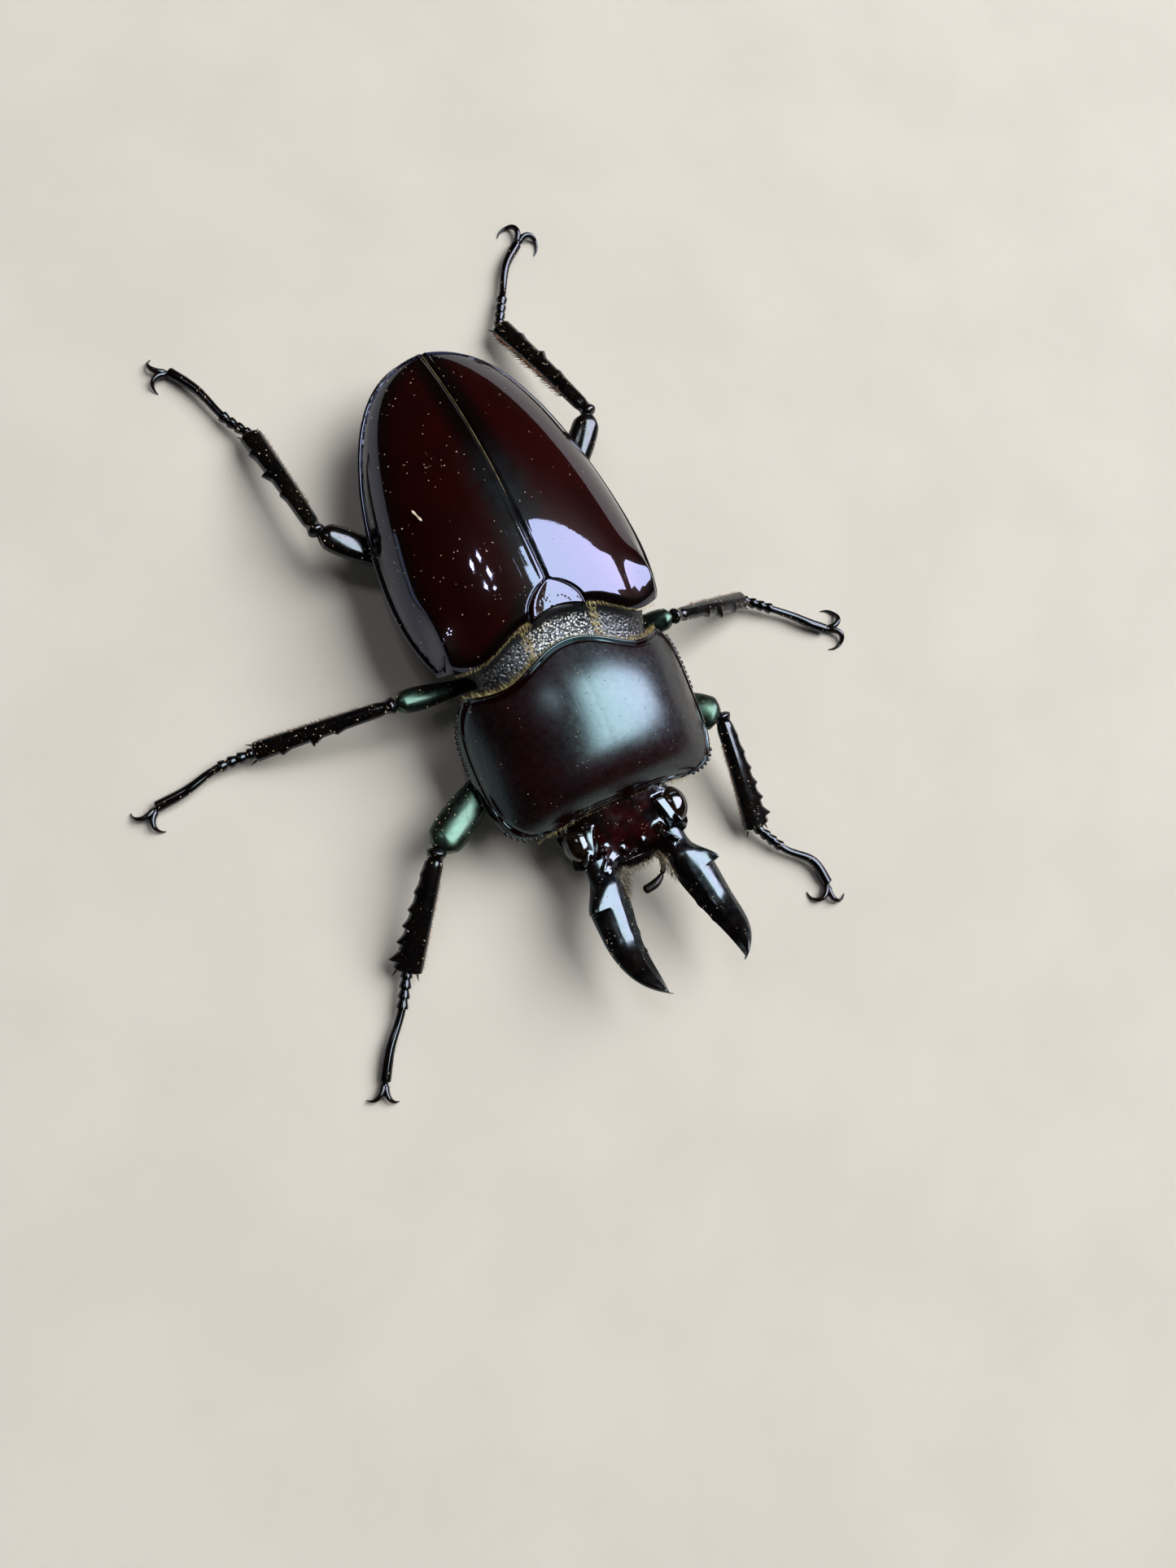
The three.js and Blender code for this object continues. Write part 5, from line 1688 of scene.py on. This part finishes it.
def spike(root, tip, radius):
    root, tip = np.asarray(root, float), np.asarray(tip, float)

    def radii(s):
        width = radius * (1 - s) ** 0.7 * rounded_ends(np.minimum(s, 0.5), 0.08) + 0.004
        return width, width

    return limb(path_through([root, (root + tip) / 2, tip]), np.linspace(0, 1, 22), radii, 14)


def tibia_path(leg):
    knee, ankle = leg["knee"], leg["ankle"]
    start = knee - KNEE_INSET * unit(ankle - knee)
    return path_through([start, (start + ankle) / 2 + [0, 0, 0.18], ankle])


def tibia_parts(leg):
    narrow, broad, deep = leg["tibia"]
    outwards = leg["teeth_side"]

    def radii(s):
        knob = 0.12 * furrow(s - 0.035, 0.025) - 0.14 * furrow(s - 0.085, 0.03)
        ends = rounded_ends(s, 0.03)
        wide = lerp(narrow, broad, s ** 1.2) * (1 + knob)
        return wide * ends, deep * lerp(0.95, 1.05, s) * ends * (1 + knob)

    def push(s, angle):
        edge = np.clip(np.cos(angle) * outwards, 0, 1) ** 3
        reach = 0
        for place, height in leg["teeth"]:
            before = np.clip((s - place + 0.060) / 0.060, 0, 1) ** 1.3
            behind = np.clip((place + 0.030 - s) / 0.030, 0, 1)
            reach = reach + height * np.minimum(before, behind)
        keel = 0.05 * furrow(np.abs(np.cos(angle)) - 0.45, 0.10) * smooth(s, 0.1, 0.25)
        return 0.45 * reach * edge, outwards * reach * edge - keel * np.sign(np.cos(angle))

    path = tibia_path(leg)
    parts = [limb(path, np.linspace(0, 1, 230), radii, 32, push)]
    place, ahead, across, above = [row[0] for row in at(path, [0.955])]
    for sign in (-1, 1):
        root = place + across * sign * broad * 0.55 - above * 0.10
        tip = root + ahead * 1.05 + across * sign * 0.42 - above * 0.12
        tip[2] = max(tip[2], 0.12)
        parts.append(spike(root, tip, 0.13))
    return parts


def leg_pieces(node_name, label, parts_of, material):
    """One piece on every leg, from the function that gives its parts."""
    for name, leg in LEGS.items():
        piece = solid(f"{node_name}_{name}_{label}", parts_of(leg), material)
        stands_for(piece, "leg", f"{node_name}_{name}")


leg_pieces("tibia", "shin", tibia_parts, leg_gloss)

# %% [markdown]
# The foot is a chain of four short joints, each a little cup that the next one sits in, and a long
# last joint that carries the claws. One path carries the whole chain, and the radius alone makes
# the cups.

# %% Feet
TARSUS = {"radius": 0.49, "neck": 0.34, "joints": 4, "short_share": 0.36}


def tarsus_path(leg):
    ankle, toe, foot = leg["ankle"], leg["toe"], leg["foot"]
    across = unit(np.cross(foot - toe, UP))
    middle = lerp(toe, foot, 0.55) + across * leg["bow"] + [0, 0, 0.12]
    start, end = ankle - 0.35 * unit(toe - ankle), foot + 0.1 * unit(foot - middle)
    return path_through([start, toe, middle, end])


def tarsus_parts(leg):
    short, joints = TARSUS["short_share"], TARSUS["joints"]

    def radii(s):
        part = (s / short * joints) % 1
        cup = lerp(TARSUS["neck"], TARSUS["radius"] * 0.98, smooth(part, 0.05, 0.80) ** 0.8)
        cup = cup * (1 - 0.45 * smooth(part, 0.88, 1.0))
        last = lerp(TARSUS["neck"] * 0.95, TARSUS["radius"] * 0.95, smooth(s, short, 0.98) ** 1.2)
        width = np.where(s < short, cup, last) * rounded_ends(s, 0.02)
        return width, width

    return [limb(tarsus_path(leg), np.linspace(0, 1, 230), radii, 24)]


leg_pieces("tarsus", "foot", tarsus_parts, foot_gloss)

# %% [markdown]
# Each foot ends in two hooked claws that taper to points and lie on the floor, and between them a
# short peg with two bristles, which a living beetle uses to feel the bark.

# %% Claws
CLAW = {"reach": 1.2, "spread": 0.88, "radius": 0.34, "height": 0.36, "tip": 0.035, "tip_z": 0.07}


def claw_parts(leg):
    _, heading, _, _ = at(tarsus_path(leg), [1.0])
    heading = unit(heading[0] * [1, 1, 0])
    ahead = turned(heading[None], leg["claw_turn"], (0, 0))[0]
    across = unit(np.cross(ahead, UP))
    foot = leg["foot"] + 0.35 * ahead
    angle = np.linspace(0, math.pi, 20)[1:-1, None]
    around = 2 * math.pi * np.arange(28)[None, :] / 28
    knob = np.stack([
        foot[0] + 0.33 * np.sin(angle) * np.cos(around),
        foot[1] + 0.33 * np.sin(angle) * np.sin(around),
        CLAW["height"] + 0.31 * np.cos(angle) + 0 * around], -1)
    parts = [loft(knob)]
    for side in (-1, 1):
        share = np.linspace(0, 1, 9)
        angles = np.linspace(0, leg["claw_hook"], len(share))[:, None]
        points = foot + ahead * CLAW["reach"] * np.sin(angles)
        points = points + across * side * (0.1 + CLAW["spread"] * (1 - np.cos(angles)))
        arch = 0.28 * np.sin(np.minimum(angles[:, 0] * 1.5, math.pi))
        points[:, 2] = lerp(CLAW["height"], CLAW["tip_z"], share ** 1.5) + arch

        def radii(s):
            ends = rounded_ends(np.minimum(s, 0.5), 0.05)
            width = lerp(CLAW["radius"], CLAW["tip"], s ** 1.6) * ends
            return 0.88 * width, width

        parts.append(limb(path_through(points), np.linspace(0, 1, 70), radii, 22))
    peg = foot + ahead * 0.25
    parts.append(spike(peg, peg + ahead * 0.55 + [0, 0, -0.05], 0.11))
    return parts


leg_pieces("claws", "hooks", claw_parts, claw_gloss)

# %% [markdown]
# ## Bristles
#
# A stag beetle is not hairless. Golden bristles fringe the plates where they rub on each other,
# a dense brush hides the mouth, and short stiff rows line the legs. All of them grow from lines
# laid on the body. The tree walks along a line, sets a bent cone on every step and turns it to the
# line's own direction "lie" with some disorder. A bristle is kept to thirteen vertices, because
# there are thousands of them.

# %% The tree that grows bristles
CONE_SIDES = 4
CONE_RINGS = 3
CONE_VERTICES = CONE_SIDES * CONE_RINGS + 1


def steps_along(tree, given):
    """Points on the host's lines, one after every Spacing."""
    curve = out(node(tree, "GeometryNodeMeshToCurve", {"Mesh": out(given, "Geometry")}))
    return out(node(tree, "GeometryNodeCurveToPoints", {
        "Curve": curve, "Length": in_metres(tree, given, "Spacing")}, mode="LENGTH"))


def bristles_tree():
    tree, given = growth(
        "bristles", Spacing=0.06, Length=0.8, Thickness=0.028, Droop=0.3, Spread=0.35, Jitter=0.08,
        Seed=1, Material=None)
    seed = out(given, "Seed")
    length = out(given, "Length")
    roots = steps_along(tree, given)
    shake = chance(tree, (-1, -1, -0.3), (1, 1, 0.3), seed)
    shake = scaled(tree, shake, in_metres(tree, given, "Jitter"))
    roots = out(node(tree, "GeometryNodeSetPosition", {"Geometry": roots, "Offset": shake}))

    cone = out(node(tree, "GeometryNodeMeshCone", {
        "Vertices": CONE_SIDES, "Side Segments": CONE_RINGS, "Radius Top": 0.0,
        "Radius Bottom": maths(tree, "DIVIDE", out(given, "Thickness"), length), "Depth": 1.0},
        fill_type="NGON"))
    height = upward(tree, "GeometryNodeInputPosition")
    sag = times(tree, times(tree, height, height), out(given, "Droop"))
    bend = out(node(tree, "ShaderNodeCombineXYZ", {"X": sag}))
    cone = out(node(tree, "GeometryNodeSetPosition", {"Geometry": cone, "Offset": bend}))
    cone = out(node(tree, "GeometryNodeSetShadeSmooth", {"Geometry": cone}))

    stray = scaled(tree, chance(tree, (-1, -1, -1), (1, 1, 1), seed, 7), out(given, "Spread"))
    way = added(tree, named(tree, "lie", "FLOAT_VECTOR"), stray)
    upright = out(node(tree, "FunctionNodeAlignRotationToVector", {"Vector": way}, axis="Z"))
    facing = out(node(tree, "FunctionNodeAlignRotationToVector", {
        "Rotation": upright, "Vector": (0, 0, -1)}, axis="X", pivot_axis="Z"))
    size = times(tree, times(tree, length, named(tree, "reach")),
                 chance(tree, 0.6 * MM, 1.15 * MM, seed, 13))
    copies = out(node(tree, "GeometryNodeInstanceOnPoints", {
        "Points": roots, "Instance": cone, "Rotation": facing, "Scale": size}))
    return ended(tree, copies, given)


BRISTLES = bristles_tree()
print(BRISTLES.name, "inputs:", [item.name for item in BRISTLES.interface.items_tree])

# %% [markdown]
# A fringe is a list of lines. Each line is a row of places in body millimetres with the direction
# in which its bristles lie and how long they are compared with the rest. For baking, every bristle
# gets a small patch of its own in the map OFBake, at the place of its root on the body's surface
# unrolled around its long axis.

# %% Lines for a tree to walk along


def lines_host(name, lines):
    """A new object whose mesh is these lines, each a row of places in body millimetres."""
    edges = []
    for line in lines:
        first = edges[-1][1] + 1 if edges else 0
        edges += [(first + step, first + step + 1) for step in range(len(line) - 1)]
    mesh = bpy.data.meshes.new(name)
    mesh.from_pydata(in_frame(np.concatenate(lines)).tolist(), edges, [])
    return link(bpy.data.objects.new(name, mesh))

# %% Fringes and their map
PATCH = 0.003
AXIS_HEIGHT = 6.0
MAP_FRONT = -36.0
MAP_LENGTH = 66.0


def patch_map(mesh, copy_size):
    """A UV map in which every copy of copy_size vertices is a small patch at its root's place."""
    points = np.empty(len(mesh.vertices) * 3)
    mesh.vertices.foreach_get("co", points)
    points = (points.reshape(-1, 3) - BODY_ORIGIN) / MM
    roots = points.reshape(-1, copy_size, 3)[:, :CONE_SIDES].mean(1)
    around = np.arctan2(roots[:, 0], roots[:, 2] - AXIS_HEIGHT) / (2 * math.pi) + 0.5
    place = np.stack([around, (roots[:, 1] - MAP_FRONT) / MAP_LENGTH], -1)
    index = np.arange(copy_size)
    pattern = np.stack([index % CONE_SIDES / (CONE_SIDES - 1), index // CONE_SIDES / CONE_RINGS], -1)
    pattern = np.minimum(pattern, 1) - 0.5
    corners = np.empty(len(mesh.loops), int)
    mesh.loops.foreach_get("vertex_index", corners)
    uv = place[corners // copy_size] + pattern[corners % copy_size] * PATCH
    for layer in list(mesh.uv_layers):
        mesh.uv_layers.remove(layer)
    uv = np.clip(uv, 0, 1).astype(np.float32)
    mesh.uv_layers.new(name="OFBake").data.foreach_set("uv", uv.ravel())


def fringe(name, lines, material, **values):
    """Bristles along lines; each line is (places, lie, reach), and the last two may be constant."""
    places = [np.asarray(line, float) for line, _, _ in lines]
    lies = [np.broadcast_to(unit(np.asarray(lie, float)), line.shape) for line, lie, _ in lines]
    reaches = [np.broadcast_to(np.asarray(reach, float), len(line)) for line, _, reach in lines]
    piece = lines_host(name, places)
    for label, kind, field, rows in (
            ("lie", "FLOAT_VECTOR", "vector", lies), ("reach", "FLOAT", "value", reaches)):
        layer = piece.data.attributes.new(label, kind, "POINT")
        layer.data.foreach_set(field, np.concatenate(rows).astype(np.float32).ravel())
    grown(piece, BRISTLES, Material=material, **values)
    patch_map(piece.data, CONE_VERTICES)
    stands_for(piece, "hair")
    print(name, len(piece.data.vertices) // CONE_VERTICES, "bristles")


print("map patches are", PATCH, "across")

# %% [markdown]
# The fringe of the pronotum lies back over the collar and is short in the middle, where it has
# been rubbed off, and long at the sides. The wing cases answer it with a thinner one of their own,
# and golden tufts stand in the corners next to the scutellum.

# %% Fringes round the collar
x = np.linspace(-8.6, 8.6, 140)
rear_y = pronotum_rear_y(x)
rear_station = np.full_like(x, PRONOTUM["rear_y"])
rear_z = pronotum_dome_z(x, rear_station) - 0.30
rear_lie = np.stack([0.12 * x / 8, np.ones_like(x), -0.25 + 0 * x], -1)
rear_reach = 0.62 + 0.38 * smooth(np.abs(x), 1.6, 4.0)
rear_line = np.stack([x, rear_y - 0.12, rear_z], -1)
under_line = np.stack([x, rear_y - 0.25, rear_z - 0.22], -1)
fringe("pronotum_rear_bristles",
       [(rear_line, rear_lie, rear_reach), (under_line, rear_lie, 0.8 * rear_reach)],
       bristle_gold, Spacing=0.045, Length=0.85, Thickness=0.026, Droop=0.25, Spread=0.30,
       Seed=3)

wing_lines = []
for side in (-1, 1):
    x = np.linspace(2.4, 8.8, 60)
    y = wing_front_y(x)
    line = np.stack([side * x, y - 0.05, wing_dome_z(x, y) - 0.42], -1)
    reach = 0.45 + 0.55 * fade(x, 2.6, 4.6)
    wing_lines.append((line, (0.0, -1.0, 0.10), reach))
fringe("elytra_front_bristles", wing_lines, bristle_gold, Spacing=0.05, Length=0.6, Thickness=0.024,
       Droop=0.35, Spread=0.35, Seed=5)

tuft_lines = []
for side in (-1, 1):
    for row in range(4):
        x = np.linspace(2.7, 3.3, 10)
        share = 0.15 + 0.2 * row
        y = lerp(wing_front_y(x) - 0.15, pronotum_rear_y(x) - 0.4, share)
        behind_z, ahead_z = wing_dome_z(x, wing_front_y(x)), pronotum_dome_z(x, PRONOTUM["rear_y"])
        z = lerp(behind_z, ahead_z, share) - 0.7
        tuft_lines.append((np.stack([side * x, y, z], -1), (side * -0.25, 0.9, 0.30), 1.0))
fringe("collar_tufts", tuft_lines, bristle_gold, Spacing=0.05, Length=0.85, Thickness=0.026,
       Droop=0.2, Spread=0.22, Jitter=0.10, Seed=8)

# %% [markdown]
# The neck is fringed too: short gold bristles look out from under the pronotum's front edge, and
# those in its two front angles are long enough to touch the head. The mouth brush is the longest
# coat of all. It soaks up tree sap, and it hides the roots of the mandibles.

# %% Fringes of the head
front_lines = []
for side in (-1, 1):
    x = np.linspace(1.0, 7.4, 60)
    front_y = pronotum_front_y(x)
    z = pronotum_dome_z(x, np.full_like(x, PRONOTUM["front_y"])) - 0.34
    reach = 0.40 + 0.35 * smooth(x, 3.4, 5.4) * fade(x, 6.0, 7.0)
    line = np.stack([side * x, front_y + 0.05, z], -1)
    front_lines.append((line, (-0.15 * side, -1.0, -0.25), reach))
fringe("pronotum_front_bristles", front_lines, bristle_gold, Spacing=0.06, Length=0.62,
       Thickness=0.024, Droop=0.3, Spread=0.35, Seed=11)

BRUSH_ROOT = (1.75, -22.45, 4.9)
BRUSH_TIP = (2.75, -25.2, 4.75)
brush_lines = []
for side in (-1, 1):
    for row in range(7):
        share = np.linspace(0, 1, 24)[:, None]
        line = lerp(np.array(BRUSH_ROOT), np.array(BRUSH_TIP), share)
        line = (line + [0.16 * (row - 3), 0, 0.20 * math.sin(row)]) * [side, 1, 1]
        reach = (0.6 + 0.5 * np.sin(math.pi * share[:, 0])) * (0.75 if row % 2 else 1.0)
        brush_lines.append((line, (-0.35 * side, -0.75, 0.45 - 0.15 * row), reach))
lip_edge = np.linspace(-1.15, 1.15, 30)
for height in (4.45, 4.75):
    line = np.stack([lip_edge, -22.85 + 0.12 * lip_edge ** 2, height + 0 * lip_edge], -1)
    brush_lines.append((line, (0, -1.0, -0.1), 0.9))
fringe("mouth_brush", brush_lines, bristle_umber, Spacing=0.050, Length=0.75, Thickness=0.024,
       Droop=0.25, Spread=0.55, Jitter=0.14, Seed=21)

# %% [markdown]
# On the legs the bristles stand in rows along the inner side of each shin and under each foot,
# where they give grip. They are rust brown and short. The hind left shin keeps a longer fringe.

# %% Rows on the legs
shin_lines, foot_lines = [], []
for name, leg in LEGS.items():
    outwards = leg["teeth_side"]
    narrow, broad, deep = leg["tibia"]
    stations = np.linspace(0.25, 0.93, 40)
    place, ahead, across, above = at(tibia_path(leg), stations)
    wide = lerp(narrow, broad, stations ** 1.2)[:, None]
    long = 1.9 if name == "hind_left" else 1.0
    for height in (-0.25, 0.25):
        line = place - across * outwards * wide * 0.93 + above * deep * height
        shin_lines.append((line, -outwards * across + 0.9 * ahead, long))
    stations = np.linspace(0.03, TARSUS["short_share"], 40)
    place, ahead, across, above = at(tarsus_path(leg), stations)
    for sign in (-1, 1):
        line = place - above * TARSUS["radius"] * 0.62 + sign * across * 0.12
        line[:, 2] = np.maximum(line[:, 2], 0.25)
        foot_lines.append((line, 0.7 * ahead - 0.6 * above + sign * 0.7 * across, 1.0))
fringe("shin_bristles", shin_lines, bristle_rust, Spacing=0.11, Length=0.34, Thickness=0.026,
       Droop=0.15, Spread=0.25, Jitter=0.04, Seed=31)
fringe("foot_bristles", foot_lines, bristle_rust, Spacing=0.09, Length=0.26, Thickness=0.022,
       Droop=0.0, Spread=0.25, Jitter=0.03, Seed=37)

# %% Fringes of the belly plates
belly_lines = []
angle = np.linspace(1.12 * math.pi, 1.88 * math.pi, 60)
for index in range(1, ABDOMEN["segments"]):
    y = plate_y(index)
    half, side_z, keel = belly_section(y)
    z = lerp(side_z, keel - 0.1, np.abs(np.sin(angle)) ** 0.8) - 0.02
    line = np.stack([half * np.cos(angle), y - 0.15 + 0 * angle, z], -1)
    belly_lines.append((line, (0, 1.0, -0.35), 1.0))
fringe("belly_bristles", belly_lines, bristle_rust, Spacing=0.10, Length=0.42, Thickness=0.024,
       Droop=0.1, Spread=0.2, Jitter=0.05, Seed=41)

# %% [markdown]
# ## Beads on the pronotum's margin
#
# The thin side rim of the pronotum is beaded along its rear half and round the front corner, like
# a cord. One tree sets small flattened balls along a line, and another scatters the dust.

# %% The trees that set beads and crumbs


def beads_tree():
    tree, given = growth("beads", Spacing=0.42, Radius=0.16, Seed=1, Material=None)
    ball = out(node(tree, "GeometryNodeMeshIcoSphere", {
        "Radius": in_metres(tree, given, "Radius"), "Subdivisions": 3}))
    ball = out(node(tree, "GeometryNodeSetShadeSmooth", {"Geometry": ball}))
    size = chance(tree, (0.75, 0.85, 0.7), (1.05, 1.25, 0.95), out(given, "Seed"))
    copies = out(node(tree, "GeometryNodeInstanceOnPoints", {
        "Points": steps_along(tree, given), "Instance": ball, "Scale": size}))
    return ended(tree, copies, given)


def crumbs_tree():
    tree, given = growth("crumbs", Density=0.5, Size=0.05, Clump=2.4, Seed=1, Material=None)
    seed = out(given, "Seed")
    place = out(node(tree, "GeometryNodeInputPosition"))
    grain = maths(tree, "DIVIDE", 1 / MM, out(given, "Clump"))
    patches = out(node(tree, "ShaderNodeTexNoise", {"Vector": place, "Scale": grain, "Detail": 3.0}))
    patches = out(node(tree, "ShaderNodeMapRange", {
        "Value": patches, "From Min": 0.45, "From Max": 0.68, "To Min": 0.15, "To Max": 2.6}))
    upper = maths(tree, "GREATER_THAN", upward(tree, "GeometryNodeInputNormal"), 0.2)
    density = times(tree, times(tree, patches, upper),
                    times(tree, out(given, "Density"), 1 / MM ** 2))
    spots = node(tree, "GeometryNodeDistributePointsOnFaces", {
        "Mesh": out(given, "Geometry"), "Density": density, "Seed": seed})
    crumb = out(node(tree, "GeometryNodeMeshIcoSphere", {"Radius": MM, "Subdivisions": 1}))
    low, high = [times(tree, out(given, "Size"), share) for share in (0.35, 1.6)]
    sizes = [chance(tree, low, high, seed, step) for step in (3, 5, 9)]
    shape = out(node(tree, "ShaderNodeCombineXYZ", {0: sizes[0], 1: sizes[1], 2: sizes[2]}))
    turn = out(node(tree, "FunctionNodeEulerToRotation", {
        0: chance(tree, (0, 0, 0), (6.28, 6.28, 6.28), seed, 17)}))
    copies = out(node(tree, "GeometryNodeInstanceOnPoints", {
        "Points": out(spots, "Points"), "Instance": crumb, "Rotation": turn, "Scale": shape}))
    return ended(tree, copies, given)


BEADS = beads_tree()
CRUMBS = crumbs_tree()
print("trees:", [tree.name for tree in bpy.data.node_groups])

# %% Set the beads
BEADED = ((-10.9, -6.9), (-17.6, -15.6))

margins = []
for side in (-1, 1):
    for front, rear in BEADED:
        station = np.linspace(front, rear, 60)
        x = side * (pronotum_half_width(station) + 0.02)
        share = (station - PRONOTUM["rear_y"]) / (PRONOTUM["front_y"] - PRONOTUM["rear_y"])
        y = lerp(pronotum_rear_y(x), pronotum_front_y(x), share)
        margins.append(np.stack([x, y, pronotum_margin_z(station) + 0.02], -1))
beads = grown(lines_host("pronotum_beads", margins), BEADS, Material=claw_gloss, Seed=2)
stands_for(beads, "pronotum")

# %% [markdown]
# ## Dust
#
# Crumbs of bark cling wherever the beetle has pushed through litter, thickest on the right wing
# case, on the head and between the leg spines. The tree scatters them over the upper faces of a
# finished piece, in clumps, from a fixed seed. A cream splinter lies across the right wing case.

# %% Scatter the dust
CRUMB_FACES = 20
FORE_PARTS = ["head_cuticle", "mandible_left_blade", "mandible_right_blade"]
LEG_PARTS = [part.format(leg) for leg in LEGS
             for part in ("femur_{}_thigh", "tibia_{}_shin", "tarsus_{}_foot")]


def dusted(name, sources, density, size, seed, clump=2.4):
    """Crumbs on the upper faces of finished pieces, as one new piece."""
    gathered = bpy.data.meshes.new(name)
    build = bmesh.new()
    for source in sources:
        build.from_mesh(bpy.data.objects[source].data)
    build.to_mesh(gathered)
    build.free()
    piece = link(bpy.data.objects.new(name, gathered))
    grown(piece, CRUMBS, Density=density, Size=size, Seed=seed, Clump=clump, Material=bark_dust)
    stands_for(piece, "dust")
    print(name, len(piece.data.polygons) // CRUMB_FACES, "crumbs")


dusted("dust_on_right_wing_case", ["elytron_right_lacquer"],
       density=0.62, size=0.047, seed=4)
dusted("dust_on_left_wing_case", ["elytron_left_lacquer", "scutellum_lacquer"],
       density=0.24, size=0.040, seed=6)
dusted("dust_on_pronotum", ["pronotum_shield"],
       density=0.32, size=0.034, seed=9)
dusted("dust_on_head", FORE_PARTS, density=1.1, size=0.038, seed=12, clump=1.4)
dusted("dust_on_legs", LEG_PARTS, density=1.6, size=0.055, seed=15, clump=1.2)

# %% The splinter
SPLINTER = ((-7.05, 9.25), (-6.75, 8.05))


def splinter_piece():
    (x, y), (end_x, end_y) = SPLINTER
    share = np.linspace(0, 1, 12)
    across, along = lerp(x, end_x, share), lerp(y, end_y, share)
    path = path_through(np.stack([across, along, wing_dome_z(across, along) + 0.05], -1))

    def radii(s):
        width = 0.085 * rounded_ends(s, 0.25) * (1 + 0.3 * np.sin(9 * s))
        return width, 0.5 * width

    return solid("splinter", [limb(path, np.linspace(0, 1, 30), radii, 12)], bark_dust)


stands_for(splinter_piece(), "dust")
